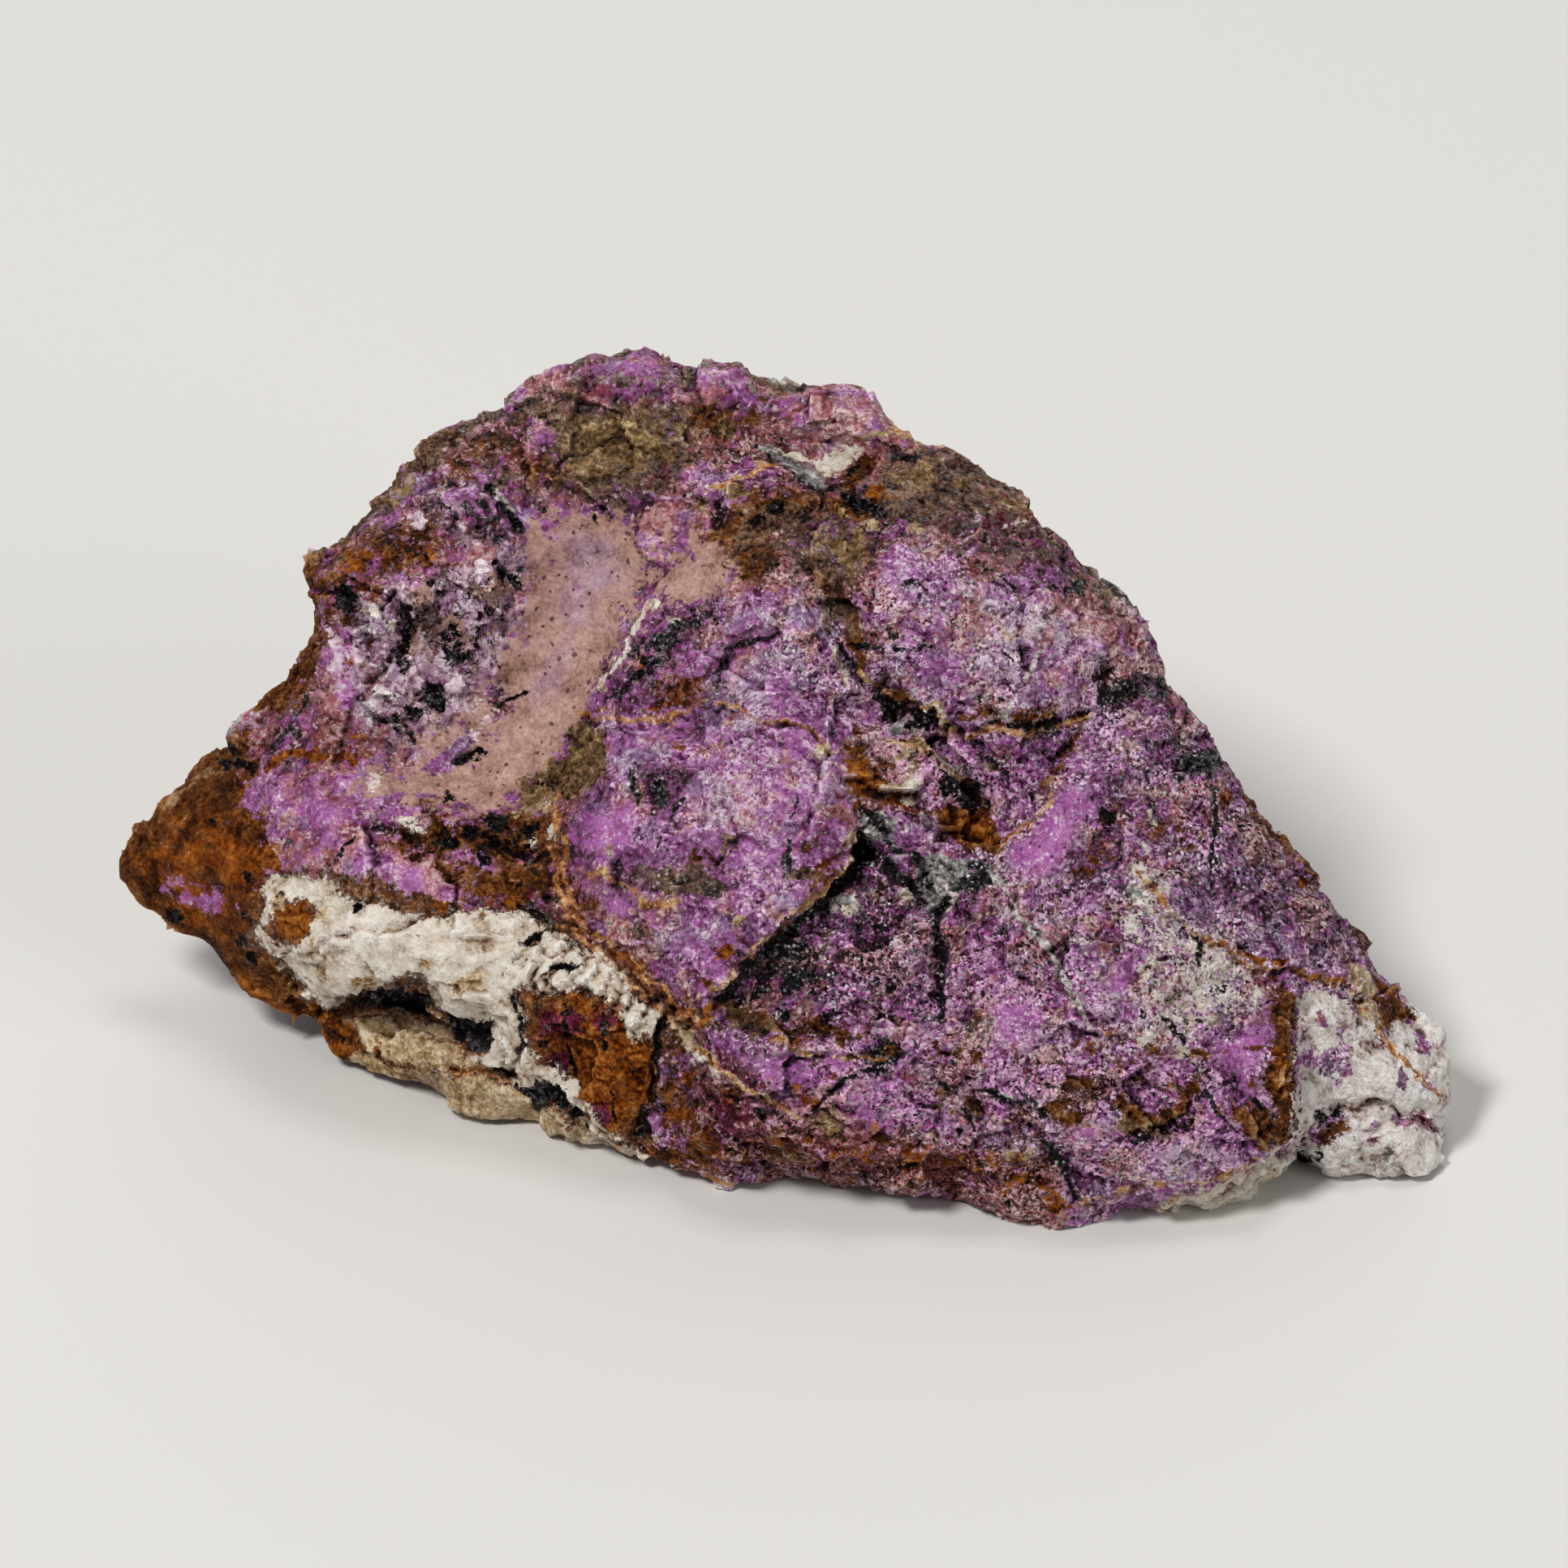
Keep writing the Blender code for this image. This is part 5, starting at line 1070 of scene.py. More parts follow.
# Soft random patches that break up the back: size in millimetres, seed, low and high threshold, strength.
backPatches = {
    "brownRind": (9.0, 51, 0.07, 0.20, 0.80),
    "rust": (6.0, 52, 0.14, 0.26, 0.65),
    "ochre": (7.0, 56, 0.14, 0.26, 0.65),
    "blackVeinAndShade": (5.0, 57, 0.18, 0.28, 0.60),
    "paleChip": (6.0, 58, 0.10, 0.22, 0.55),
    "lilacSkin": (9.0, 55, 0.02, 0.18, 0.70),
    "dust": (8.0, 53, -0.06, 0.14, 1.0),
    "cool": (7.0, 54, 0.00, 0.16, 0.9),
    "paleGrains": (7.0, 59, -0.02, 0.18, 0.8),
    "coarse": (8.0, 61, -0.20, 0.10, 1.0),
    "taupeRind": (8.0, 62, 0.06, 0.17, 0.85),
}

# The back and the underside, placed in millimetres. Kind, size, strength, places.
backPaint = {
    "brownRind": [
        line(6.0, 0.75, (-32, 0, 12), (-26, 6, 16), (-19, 11, 20), (-10, 15, 24)),
        line(5.0, 0.7, (-1, 20, 16), (3.5, 20, 12), (8, 18.5, 7), (10.5, 17, 3)),
        dabs(3.5, 0.7, (-14, 17, 12), (18, 9, 12), (24, 4, 10), (2, 16, 24), (-24, 10, 6), (15, 13, 5)),
        line(4.0, 0.6, (-20, 12, 0), (-6, 16, 0), (8, 12, 0), (22, 2, 0)),
        dabs(3.5, 0.6, (-10, 2, 0), (4, -6, 0), (16, -4, 0), (-2, 8, 0)),
    ],
    "rust": [
        line(1.6, 0.8, (-16, 14, 18.6), (-10, 16, 20.4), (-4, 17, 20.4), (2, 17, 18)),
        line(1.3, 0.8, (10, 15, 18), (14, 13, 12), (13, 13, 6), (16, 11, 2)),
        dabs(1.6, 0.7, (-22, 11, 13), (-28, 6, 10), (21, 5, 7), (-5, 19, 6), (6, 17, 20)),
    ],
    "blackVeinAndShade": [
        line(1.0, 0.9, (-18, 15, 15), (-12, 18, 12), (-8.5, 18, 9), (-3, 18, 5), (2, 18, 1)),
        line(0.9, 0.9, (2, 16, 25), (6, 17, 20), (10, 14, 17), (13, 12, 12), (18, 9, 9), (24, 3, 8)),
        dabs(2.2, 0.5, (-9, 18, 12), (11, 14, 12), (-20, 13, 8), (0, 19, 9)),
        dabs(1.3, 0.8, (-15.5, 16.5, 16), (-3, 19.5, 17), (12.5, 12.5, 6.5)),
    ],
    "whiteMatrix": [
        dabs(3.6, 1.0, (31, -5, 6), (34, -7, 5), (32, -9, 3), (29, -3, 3)),
        line(4.5, 0.75, (-24, 8, 3), (-16, 14, 2), (-8, 19, 2.5), (0, 19, 1)),
        line(5.0, 0.7, (-16, 4, 0), (-6, 2, 0), (6, 6, 0), (26, -6, 0)),
        dabs(2.2, 0.7, (-18, 15.5, 9), (-15, 17, 8), (6, 18.5, 3)),
    ],
    "creamVein": [
        line(1.1, 0.9, (-22, 10, 18), (-15, 15, 14), (-10, 18, 8), (-2, 19.5, 4)),
        line(0.9, 0.85, (16, 10, 18), (20, 8, 12), (26, 2, 8), (30, -4, 6)),
        dabs(2.4, 0.6, (-12, 8, 0), (2, 2, 0), (14, 4, 0), (-14, 18, 4)),
    ],
    "ochre": [dabs(3.0, 0.7, (-6, 16, 23), (10, 13, 19), (-28, 4, 15), (20, 6, 3), (-4, -2, 0))],
    "greyVein": [line(0.9, 0.8, (-4, 17, 24), (0, 19, 17), (5, 19, 11), (6, 19, 5))],
    "wine": [dabs(2.6, 0.6, (-20, 11, 18), (4, 17, 16), (16, 11, 15))],
    "tanSkin": [dabs(3.2, 0.6, (-25, 7, 9), (14, 12, 9))],
    "paleChip": [dabs(3.0, 0.5, (-8, 17, 14), (6, 17, 12), (20, 8, 9), (-22, 11, 9))],
}
backTone = [
    dabs(4.0, 0.20, (-10, 16, 20), (8, 16, 22), (20, 7, 15), (-4, 19, 12), (14, 12, 16)),
    dabs(4.0, -0.20, (-18, 14, 11), (2, 18, 8), (16, 11, 4), (-26, 8, 13), (26, 0, 9)),
]

laying = {  # sizes in millimetres
    "frontRounds": 12,  # the rounds that even out the normals before the main face is told from the back
    "backShake": 1.6,
    "backShakeSize": 4.0,
    "backShakeSeeds": (41, 42, 43),
    "backTone": 0.55,
    "backToneHills": (8.0, 60),
    "pits": (4, 0.05),  # rounds of evening out, and the depth that counts as one
    "hollows": (30, 0.30),
    "backDepth": 0.12,  # the coarser mesh of the back reads as deeper, so it counts this much
}


def softened(mesh, points, rounds):
    edges = np.empty(len(mesh.edges) * 2, int)
    mesh.edges.foreach_get("vertices", edges)
    first, second = edges.reshape(-1, 2).T
    count = np.bincount(first, minlength=len(points)) + np.bincount(second, minlength=len(points))
    count = np.maximum(count, 1)
    for _round in range(rounds):
        summed = np.empty_like(points)
        for axis in range(points.shape[1]):
            summed[:, axis] = (np.bincount(first, points[second, axis], len(points))
                               + np.bincount(second, points[first, axis], len(points)))
        points = 0.5 * points + 0.5 * summed / count[:, None]
    return points


def writeAttribute(piece, name, values):
    layer = piece.data.attributes.new(name, "FLOAT", "POINT")
    layer.data.foreach_set("value", values.astype(np.float32))


def paintStone(stone):
    points = readPoints(stone)
    normals = readNormals(stone)
    broad = softened(stone.data, normals, laying["frontRounds"])
    front = frontShare(broad / np.linalg.norm(broad, axis=1)[:, None])
    places = seenPlaces(points)
    shakes = [hills(points, laying["backShakeSize"], seed) for seed in laying["backShakeSeeds"]]
    shaken = points + laying["backShake"] * np.column_stack(shakes)
    paints = dict(facePaint, lilacSkin=lilacSkin, dust=dustPaint, cool=coolPaint, paleGrains=paleGrains,
                  coarse=coarse, bowlChips=bowlChips)
    for name in paints:
        back = coverOf(shaken, backPaint.get(name, []))
        if name in backPatches:
            size, seed, low, high, strength = backPatches[name]
            back = np.maximum(back, strength * smoothStep(hills(points, size, seed), low, high))
        writeAttribute(stone, name, coverOf(places, paints[name]) * front + back * (1.0 - front))
    for name in thinLines:
        signed = np.full(len(points), lineReach["most"])
        for spots in thinLines[name]:
            away, side = lineDistance(places, np.array(spots, float))
            closer = away < np.abs(signed)
            signed[closer] = away[closer] * np.where(side[closer] < 0.0, -1.0, 1.0)
        writeAttribute(stone, name, signed)
        nearby = np.clip(1.0 - np.abs(signed) / lineReach["near"], 0.0, 1.0)
        writeAttribute(stone, name + "Near", nearby * front)
    tone = np.full(len(points), 0.5)
    for strokes, share, where in ((faceTone, front, places), (backTone, 1.0 - front, shaken)):
        for kind, size, strength, spots in strokes:
            tone += strength * strokeCover(where, kind, size, spots) * share
    tone += laying["backTone"] * hills(points, *laying["backToneHills"]) * (1.0 - front)
    writeAttribute(stone, "purpleTone", tone)
    fineMesh = laying["backDepth"] + (1.0 - laying["backDepth"]) * front
    # How deep each point sits below its smoothed neighbours; the finish turns this into painted shade in
    # sunk places and painted highlight on ridges.
    for name in ("pits", "hollows"):
        rounds, depth = laying[name]
        sunkShade = ((softened(stone.data, points, rounds) - points) * normals).sum(1)
        writeAttribute(stone, name, sunkShade / depth * fineMesh)
    print("paint laid")


def shade(red, green, blue):
    def linear(value):
        value /= 255.0
        return value / 12.92 if value <= 0.04045 else ((value + 0.055) / 1.055) ** 2.4
    return (linear(red), linear(green), linear(blue), 1.0)


# Colours from 0 to 255, at their places on a ramp.
finish = {
    "purple": [(0.02, (12, 3, 7)), (0.20, (54, 18, 36)), (0.36, (104, 45, 84)), (0.50, (138, 71, 128)),
               (0.64, (161, 92, 154)), (0.80, (188, 126, 180)), (0.96, (230, 194, 222))],
    "mauve": [(0.04, (18, 6, 6)), (0.24, (74, 32, 30)), (0.42, (120, 62, 60)), (0.58, (154, 90, 88)),
              (0.76, (188, 130, 130)), (0.95, (226, 192, 192))],
    "lilac": [(0.05, (66, 22, 58)), (0.30, (134, 66, 128)), (0.55, (166, 92, 158)), (0.80, (188, 130, 184)),
              (0.96, (222, 190, 222))],
    "greyLilac": [(0.06, (22, 11, 24)), (0.30, (92, 56, 94)), (0.52, (138, 102, 142)),
                  (0.74, (176, 148, 178)), (0.95, (222, 208, 222))],
    "chipLilac": [(0.06, (30, 16, 22)), (0.30, (98, 60, 84)), (0.52, (146, 106, 132)),
                  (0.74, (184, 150, 168)), (0.95, (226, 208, 212))],
    "paleChip": [(0.12, (84, 54, 72)), (0.35, (152, 120, 142)), (0.55, (190, 162, 178)),
                 (0.75, (212, 192, 200)), (0.95, (234, 222, 222))],
    "tan": [(0.20, (110, 78, 68)), (0.50, (164, 127, 116)), (0.80, (194, 162, 149))],
    "tanLilac": [(0.20, (114, 86, 96)), (0.50, (165, 133, 145)), (0.80, (194, 168, 180))],
    "brown": [(0.14, (12, 5, 2)), (0.36, (52, 24, 6)), (0.55, (92, 49, 16)), (0.75, (124, 76, 38)),
              (0.95, (166, 122, 80))],
    "ochre": [(0.15, (34, 22, 12)), (0.42, (92, 68, 42)), (0.62, (130, 102, 70)), (0.9, (176, 150, 112))],
    "taupe": [(0.12, (14, 8, 7)), (0.36, (52, 34, 28)), (0.55, (94, 67, 52)), (0.75, (130, 102, 80)),
              (0.95, (168, 144, 124))],
    "rust": [(0.15, (40, 12, 1)), (0.38, (92, 40, 5)), (0.60, (138, 74, 18)), (0.88, (176, 112, 50))],
    "wine": [(0.2, (26, 4, 10)), (0.5, (80, 18, 38)), (0.8, (124, 50, 74))],
    "white": [(0.10, (88, 66, 48)), (0.30, (160, 136, 112)), (0.50, (202, 188, 170)),
              (0.70, (220, 210, 196)), (0.95, (236, 229, 218))],
    "pinkWhite": [(0.08, (84, 60, 54)), (0.26, (166, 142, 132)), (0.44, (214, 202, 196)),
                  (0.66, (230, 222, 217)), (0.95, (238, 233, 229))],
    "cream": [(0.12, (78, 52, 26)), (0.40, (154, 122, 82)), (0.65, (196, 170, 130)),
              (0.92, (226, 210, 180))],
    "iron": [(0.15, (56, 22, 6)), (0.42, (150, 88, 42)), (0.65, (196, 142, 88)), (0.92, (228, 196, 150))],
    "grey": [(0.22, (20, 20, 22)), (0.45, (88, 86, 84)), (0.65, (152, 149, 145)), (0.85, (216, 212, 206))],
    "black": [(0.34, (2, 1, 1)), (0.56, (9, 6, 7)), (0.68, (34, 27, 29)), (0.80, (92, 84, 86)),
              (0.92, (176, 168, 168))],
    # dark of the cracks, also laid as painted shade in the pores, hollows and gaps
    "crackDirtAndShade": (26, 13, 14),
    "crackIron": (142, 84, 40),
    "crackPale": (196, 164, 160),
    "speck": (48, 34, 40),
    "whiteCrack": (104, 78, 58),
    # pale grains, partly painted glints
    "paleGrain": (210, 180, 188),
    "creamGrain": (236, 226, 210),
    # colour of the painted glints on the crystals
    "paintedGlint": (246, 232, 240),
    "coarseTint": (1.03, 0.84, 0.98),  # the coarse crystals are a deeper purple
    "zoneSize": 2.6,  # the sizes are in millimetres
    "raggedSize": 1.0,
    "grainSize": 0.24,
    "crystalSize": 0.19,
    "glintSize": 0.23,
    "plateSize": 2.6,
    "speckSize": 0.40,
    "chipSize": 1.1,
    "bumpDepth": 0.00032,  # metres
    "ior": 1.6,
}


def stoneFinish():
    material = bpy.data.materials.new("purpuriteFinish")
    material.use_nodes = True
    tree = material.node_tree
    shader = tree.nodes["Principled BSDF"]

    def add(kind, inputs, **settings):
        made = tree.nodes.new("ShaderNode" + kind)
        for name, value in settings.items():
            setattr(made, name, value)
        for name, value in inputs.items():
            if isinstance(value, bpy.types.NodeSocket):
                tree.links.new(value, made.inputs[name])
            else:
                made.inputs[name].default_value = value
        return made

    def maths(operation, first, second=0.0, third=0.0):
        return add("Math", {0: first, 1: second, 2: third}, operation=operation).outputs[0]

    def chained(operation, terms):
        total = terms[0]
        for term in terms[1:]:
            total = maths(operation, total, term)
        return total

    def plus(*terms):
        return chained("ADD", terms)

    def times(*terms):
        return chained("MULTIPLY", terms)

    def largest(*terms):
        return chained("MAXIMUM", terms)

    def less(share):  # what the share leaves of the whole
        return maths("SUBTRACT", 1.0, share)

    def swing(value, amount, base):
        return maths("MULTIPLY_ADD", value, amount, base)

    def around(value, amount, middle=0.5):  # the value's swing about its middle, times the amount
        return swing(value, amount, -middle * amount)

    def grow(value, low, high):
        return add("MapRange", {0: value, 1: low, 2: high}, interpolation_type="SMOOTHSTEP").outputs[0]

    def blend(share, first, second):
        return add("Mix", {0: share, 6: first, 7: second}, data_type="RGBA").outputs[2]

    def blendValue(share, first, second):
        return add("Mix", {0: share, 2: first, 3: second}, data_type="FLOAT").outputs[0]

    def plain(name):
        return shade(*finish[name])

    def shades(value, name):
        ramp = add("ValToRGB", {0: value})
        stops = ramp.color_ramp.elements
        while len(stops) < len(finish[name]):
            stops.new(0.5)
        for stop, (position, colour) in zip(stops, finish[name]):
            stop.position = position
            stop.color = shade(*colour)
        return ramp.outputs[0]

    def painted(name):
        return add("Attribute", {}, attribute_name=name).outputs["Fac"]

    def vector(operation, inputs):
        return add("VectorMath", inputs, operation=operation).outputs[0]

    millimetres = vector("SCALE", {0: add("TexCoord", {}).outputs["Object"], 3: 1000.0})

    def mottle(place, size, detail, roughness):
        inputs = {"Vector": place, "Scale": 1.0 / finish[size], "Detail": detail, "Roughness": roughness}
        return add("TexNoise", inputs)

    def moved(offset):
        return vector("ADD", {0: millimetres, 1: (offset, offset * 0.7, -offset)})

    def bentBy(texture, reach, place=millimetres):  # pushed about by a noise, so that no edge is ruled
        return vector("MULTIPLY_ADD", {0: texture.outputs[1], 1: (reach, reach, reach), 2: place})

    def cells(place, size, feature="F1"):
        return add("TexVoronoi", {"Vector": place, "Scale": 1.0 / finish[size]}, feature=feature)

    def parts(colour):
        return add("SeparateColor", {0: colour}).outputs

    zone = mottle(moved(11.0), "zoneSize", 2.0, 0.6)
    ragged = mottle(moved(23.0), "raggedSize", 5.0, 0.7)
    grain = mottle(bentBy(zone, 2.0), "grainSize", 3.0, 0.72)  # the grain is drawn out
    grainA, grainB, grainC = parts(grain.outputs[1])
    zoneA, zoneB, zoneC = parts(zone.outputs[1])
    raggedA, raggedB, raggedC = parts(ragged.outputs[1])
    crystal = cells(bentBy(grain, 0.25), "crystalSize")
    crystalA, crystalB, crystalC = parts(crystal.outputs["Color"])
    glints = cells(bentBy(grain, 0.30), "glintSize")
    glintRandom = plus(parts(glints.outputs["Color"])[0], around(raggedC, 0.6))
    spot = grow(glints.outputs["Distance"], 0.50, 0.28)
    hollows = painted("hollows")
    # painted shade in the pits and painted highlight on the ridges
    sunkShade = times(painted("pits"), -0.11)
    fractured = bentBy(ragged, 1.6)
    plateTone, plateHue = parts(cells(fractured, "plateSize").outputs["Color"])[:2]

    # purple grains of many tones, with patches of dusty mauve and of grey lilac
    lilac = painted("lilacSkin")
    coarse = painted("coarse")
    dust = painted("dust")
    coolPart = painted("cool")
    strong = plus(grow(plus(zoneA, around(raggedB, 0.8)), 0.40, 0.62), times(lilac, -0.7))
    amount = times(swing(strong, 0.65, 0.45), swing(coarse, 0.6, 0.65))
    single = times(around(crystalA, 0.62), swing(coarse, 0.65, 0.65))
    fine = times(plus(around(grainA, 1.9), single), amount)
    tone = plus(painted("purpleTone"), fine, around(zoneA, 0.7), around(raggedA, 1.3), sunkShade,
                times(coarse, 0.08), around(plateTone, 0.26), times(dust, -0.04))
    dusty = plus(0.5, around(zoneB, 1.7), around(raggedB, 1.5), around(grainB, 0.35),
                 around(plateHue, 0.3), times(dust, 0.26))
    dusty = times(grow(dusty, 0.50, 0.74), 0.95)
    cool = plus(0.5, around(zoneC, 1.7), around(raggedC, 1.5), around(grainC, 0.35), times(coolPart, 0.26))
    cool = times(grow(cool, 0.62, 0.84), 0.8)
    colour = blend(dusty, shades(tone, "purple"), shades(tone, "mauve"))
    colour = blend(cool, colour, shades(tone, "greyLilac"))
    deeper = vector("MULTIPLY", {0: colour, 1: finish["coarseTint"]})
    colour = blend(grow(coarse, 0.95, 1.45), colour, deeper)
    lilacTone = plus(0.5, around(grainA, 1.0), around(zoneA, 0.7), around(crystalA, 0.12))
    lilacShare = grow(plus(lilac, around(raggedB, 1.4)), 0.42, 0.70)
    colour = blend(lilacShare, colour, shades(lilacTone, "lilac"))

    # thin cracks that wander and break off, some with iron in them
    thread = grow(maths("ABSOLUTE", maths("SUBTRACT", raggedC, 0.5)), 0.0, 0.012)
    threads = times(less(thread), grow(zoneC, 0.46, 0.58))
    plates = grow(cells(fractured, "plateSize", "DISTANCE_TO_EDGE").outputs["Distance"], 0.0, 0.035)
    seams = times(less(plates), grow(raggedA, 0.46, 0.54))
    crackColour = blend(grow(zoneA, 0.50, 0.58), plain("crackDirtAndShade"), plain("crackIron"))
    crackColour = blend(grow(zoneB, 0.52, 0.60), crackColour, plain("crackPale"))
    colour = blend(times(largest(threads, seams), 0.6), colour, crackColour)

    # pale single grains, partly painted glints, and painted shade in the pores between the crystals
    pale = painted("paleGrains")
    paleness = plus(times(pale, 0.16), grainC, around(crystalB, 0.34), around(raggedB, 0.5),
                    times(coarse, -0.035))
    whiter = grow(plus(pale, around(crystalC, 0.9)), 0.9, 1.4)
    grains = blend(whiter, plain("paleGrain"), plain("creamGrain"))
    colour = blend(times(grow(paleness, 0.67, 0.76), 0.82), colour, grains)
    poreShade = times(grow(plus(grainB, around(raggedA, -0.6)), 0.42, 0.34), strong)
    poreShade = largest(poreShade, times(grow(glintRandom, 0.17, 0.13), spot, coarse))
    colour = blend(times(poreShade, 0.8), colour, plain("crackDirtAndShade"))

    shares = {}

    # a layer shows where its paint is strong, with a ragged, grainy edge
    def layer(base, name, tones, edge, spread=0.0, broken=2.0):
        cover = plus(painted(name), around(edge, broken), around(grainB, 0.9), spread)
        shares[name] = grow(cover, 0.41, 0.59)
        return blend(shares[name], base, tones)

    earthy = times(plus(around(grainC, 1.3), around(crystalA, 0.18)), swing(lilac, -0.7, 1.0))
    earth = plus(0.5, earthy, around(raggedB, 1.2), around(zoneC, 0.6), sunkShade)
    tanTone = plus(0.5, around(grainC, 0.8), around(zoneA, 0.6), around(raggedA, 1.0),
                   around(crystalA, 0.12))
    tanCool = grow(plus(lilac, around(zoneB, 1.2)), 0.25, 0.95)
    tan = blend(tanCool, shades(tanTone, "tan"), shades(tanTone, "tanLilac"))
    specks = cells(bentBy(ragged, 0.50), "speckSize")
    speckReach = swing(parts(specks.outputs["Color"])[0], 0.62, -0.25)
    dots = grow(maths("SUBTRACT", speckReach, specks.outputs["Distance"]), -0.03, 0.05)
    tan = blend(times(dots, 0.8), tan, plain("speck"))
    colour = layer(colour, "tanSkin", tan, raggedB, broken=3.2)
    colour = layer(colour, "base", shades(earth, "brown"), raggedA)
    colour = layer(colour, "brownRind", shades(earth, "brown"), raggedC, around(zoneB, 0.6))
    colour = layer(colour, "taupeRind", shades(earth, "taupe"), raggedC, around(zoneA, 0.6))
    for name in ("ochre", "rust", "wine"):
        colour = layer(colour, name, shades(earth, name), raggedA)
    colour = layer(colour, "paleChip", shades(plus(earth, 0.08), "paleChip"), raggedB)

    # upright chips in the hollow, with painted shade in the gaps and holes between them
    upright = bentBy(ragged, 2.6, vector("MULTIPLY", {0: millimetres, 1: (1.0, 1.0, 0.7)}))
    chipRandom = parts(cells(upright, "chipSize").outputs["Color"])[0]
    chips = blend(grow(chipRandom, 0.40, 0.46), colour, shades(plus(tone, 0.04), "chipLilac"))
    chips = blend(grow(chipRandom, 0.70, 0.88), chips, shades(plus(tone, 0.02), "paleChip"))
    gapShade = less(grow(cells(upright, "chipSize", "DISTANCE_TO_EDGE").outputs["Distance"], 0.01, 0.09))
    gapShade = largest(times(gapShade, grow(raggedA, 0.44, 0.56)), grow(chipRandom, 0.15, 0.11))
    chips = blend(times(gapShade, 0.85), chips, plain("crackDirtAndShade"))
    colour = blend(grow(plus(painted("bowlChips"), around(raggedB, 1.2)), 0.40, 0.62), colour, chips)

    # white matrix, and cream, grey and black veins
    # stains in the white, with painted shade in the hollows and pits
    stainAndShade = plus(0.56, around(zoneB, 1.0), around(raggedC, 1.5), around(grainC, 0.8), sunkShade,
                 times(hollows, -0.10))
    white = blend(coolPart, shades(stainAndShade, "white"), shades(plus(stainAndShade, around(raggedA, 1.2)), "pinkWhite"))
    white = blend(times(seams, 0.4), white, plain("whiteCrack"))
    colour = layer(colour, "whiteMatrix", white, raggedC)
    colour = layer(colour, "creamVein", shades(earth, "cream"), raggedA)
    greyTone = plus(0.56, around(grainC, 0.8), around(raggedB, 1.0), around(crystalA, 0.14), sunkShade)
    colour = layer(colour, "greyVein", shades(greyTone, "grey"), raggedA)
    # the pale tones of the black are painted glints
    glint = plus(0.38, around(grainC, 1.6), around(crystalA, 0.44))
    # black veins, partly painted shade in the cracks and holes
    colour = layer(colour, "blackVeinAndShade", shades(glint, "black"), raggedC)

    def thinLine(base, name, tones, width, wander, strength):
        away = maths("ABSOLUTE", plus(painted(name), around(raggedA, wander), around(raggedB, wander)))
        away = plus(away, around(grainC, 9.0), around(raggedC, 22.0), around(zoneC, 16.0))
        share = times(grow(away, width, width * 0.4), grow(painted(name + "Near"), 0.3, strength))
        return blend(share, base, tones)

    colour = thinLine(colour, "paleLines", shades(plus(earth, -0.04), "pinkWhite"), 3.8, 11.0, 0.9)
    colour = thinLine(colour, "ironLines", shades(plus(earth, 0.05), "iron"), 4.4, 16.0, 0.9)
    # dark cracks, mostly painted shade in the grooves
    colour = thinLine(colour, "darkLines", shades(glint, "black"), 3.4, 9.0, 0.8)

    # painted shade in the hollows, and painted glints on the crystals
    hollowShade = grow(plus(hollows, around(grainB, 1.2)), 0.7, 2.0)
    colour = blend(times(hollowShade, 0.65), colour, plain("crackDirtAndShade"))
    dull = largest(shares["brownRind"], shares["whiteMatrix"], shares["rust"], shares["tanSkin"],
                   shares["ochre"], times(dust, 0.6))
    # painted glints: pale dots on some crystals stand in for highlights
    paintedGlint = grow(plus(glintRandom, times(pale, 0.10)), 0.77, 0.80)
    paintedGlint = times(paintedGlint, spot, swing(strong, 0.7, 0.3))
    paintedGlint = times(paintedGlint, times(swing(coarse, 0.75, 0.25), less(dull)))
    colour = blend(paintedGlint, colour, plain("paintedGlint"))
    tree.links.new(colour, shader.inputs["Base Color"])

    # single crystals shine, crusts are dull, black veins gleam
    shiny = grow(crystalB, 0.55, 0.66)
    shine = swing(shiny, -0.36, 0.54)
    roughness = blendValue(dull, shine, 0.70)
    roughness = blendValue(shares["blackVeinAndShade"], roughness, times(shine, 0.8))
    tree.links.new(roughness, shader.inputs["Roughness"])
    gleam = times(shiny, swing(dull, -0.9, 1.0))
    tree.links.new(plus(gleam, swing(dull, -0.10, 0.12)), shader.inputs["Specular IOR Level"])
    shader.inputs["IOR"].default_value = finish["ior"]

    calm = less(times(largest(shares["tanSkin"], times(lilacShare, 0.6)), 0.75))
    bumpiness = times(calm, swing(coarse, 0.35, 0.65))
    bump = add("Bump", {
        "Strength": bumpiness, "Distance": finish["bumpDepth"], "Height": grain.outputs[0]})
    spread = times(calm, less(times(dull, 0.6)))
    spread = times(spread, swing(coarse, 0.45, 0.70))
    centred = vector("SUBTRACT", {0: crystal.outputs["Color"], 1: (0.5, 0.5, 0.5)})
    lean = vector("SCALE", {0: centred, 3: spread})
    facet = vector("NORMALIZE", {0: vector("ADD", {0: bump.outputs[0], 1: lean})})
    tree.links.new(facet, shader.inputs["Normal"])
    return material


def plainFinish(name, colour, roughness):
    material = bpy.data.materials.new(name)
    material.use_nodes = True
    shader = material.node_tree.nodes["Principled BSDF"]
    shader.inputs["Base Color"].default_value = shade(*colour)
    shader.inputs["Roughness"].default_value = roughness
    return material


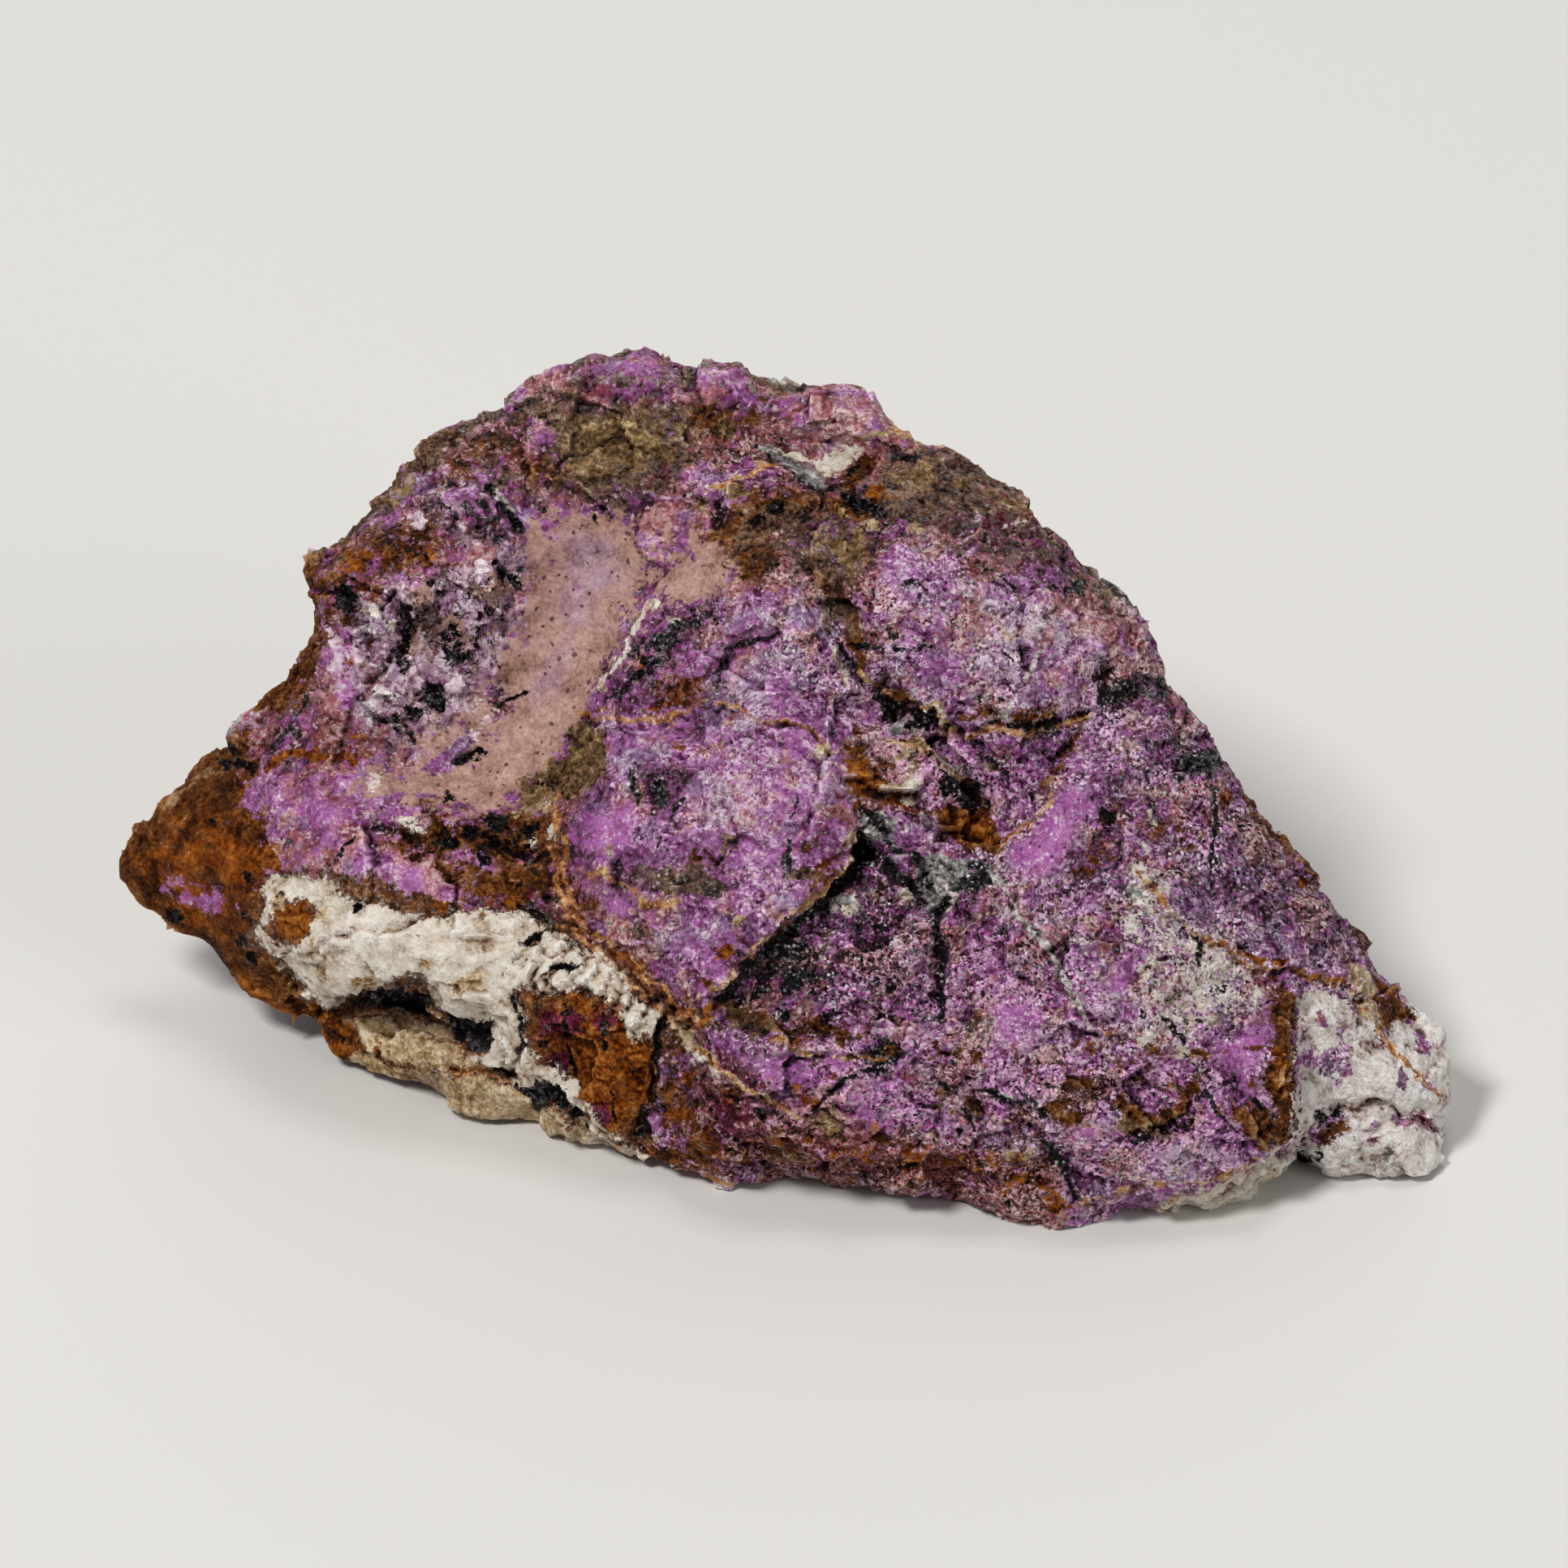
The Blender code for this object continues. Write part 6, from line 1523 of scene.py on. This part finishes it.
def makeCamera():
    centre = viewUp * (footUp / 1000.0 + (look["footRow"] - look["middle"]) * look["pixel"] / 1000.0)
    back = Vector(viewBack)
    bpy.ops.object.camera_add(location=Vector(centre) + back * look["distance"])
    camera = bpy.context.object
    camera.name = "stoneCamera"
    camera.rotation_mode = "QUATERNION"
    camera.rotation_quaternion = (-back).to_track_quat("-Z", "Y")
    camera.data.sensor_width = look["sensor"]
    width = look["frameSize"] * look["pixel"] / 1000.0
    camera.data.lens = look["sensor"] * look["distance"] / width
    camera.data.clip_end = 50.0
    bpy.context.scene.camera = camera


studio = {  # metres and watts
    "lights": [  # name, place, size, power
        ("keyLight", (-0.50, -0.45, 1.00), 0.26, 10.5),
        ("fillLight", (0.80, -0.60, 0.55), 0.60, 2.4),
        ("topLight", (0.15, 0.25, 1.20), 0.40, 3.2),
        ("backLight", (0.10, 0.95, 0.60), 0.90, 3.0),
    ],
    "roomColour": (0.84, 0.83, 0.81, 1.0),
    "roomGlow": 0.18,
    "floorSize": 6.0,
    "floorColour": (214, 212, 208),
    "floorRoughness": 0.8,
}


def makeStudio():
    for name, place, size, power in studio["lights"]:
        bpy.ops.object.light_add(type="AREA", location=place)
        lamp = bpy.context.object
        lamp.name = name
        lamp.data.size = size
        lamp.data.energy = power
        lamp.rotation_mode = "QUATERNION"
        lamp.rotation_quaternion = (-Vector(place)).to_track_quat("-Z", "Y")
    world = bpy.data.worlds.new("paleRoom")
    world.use_nodes = True
    background = world.node_tree.nodes["Background"]
    background.inputs[0].default_value = studio["roomColour"]
    background.inputs[1].default_value = studio["roomGlow"]
    bpy.context.scene.world = world
    deselectAll()
    bpy.ops.mesh.primitive_plane_add(size=studio["floorSize"], location=(0, 0, 0))
    floor = bpy.context.object
    floor.name = "paleFloor"
    finished = plainFinish("paleFloorFinish", studio["floorColour"], studio["floorRoughness"])
    floor.data.materials.append(finished)
    bpy.context.scene.view_settings.view_transform = "Standard"
    print("studio ready")


cadPoints = readPoints(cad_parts["purpurite_stone"])
footUp = (cadPoints @ viewUp).min()
makeCamera()
makeStudio()
stone = makeStone()
paintStone(stone)
stone.data.materials.clear()
stone.data.materials.append(stoneFinish())
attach(stone, "root")
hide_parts("purpurite_stone")
print("stone finished")
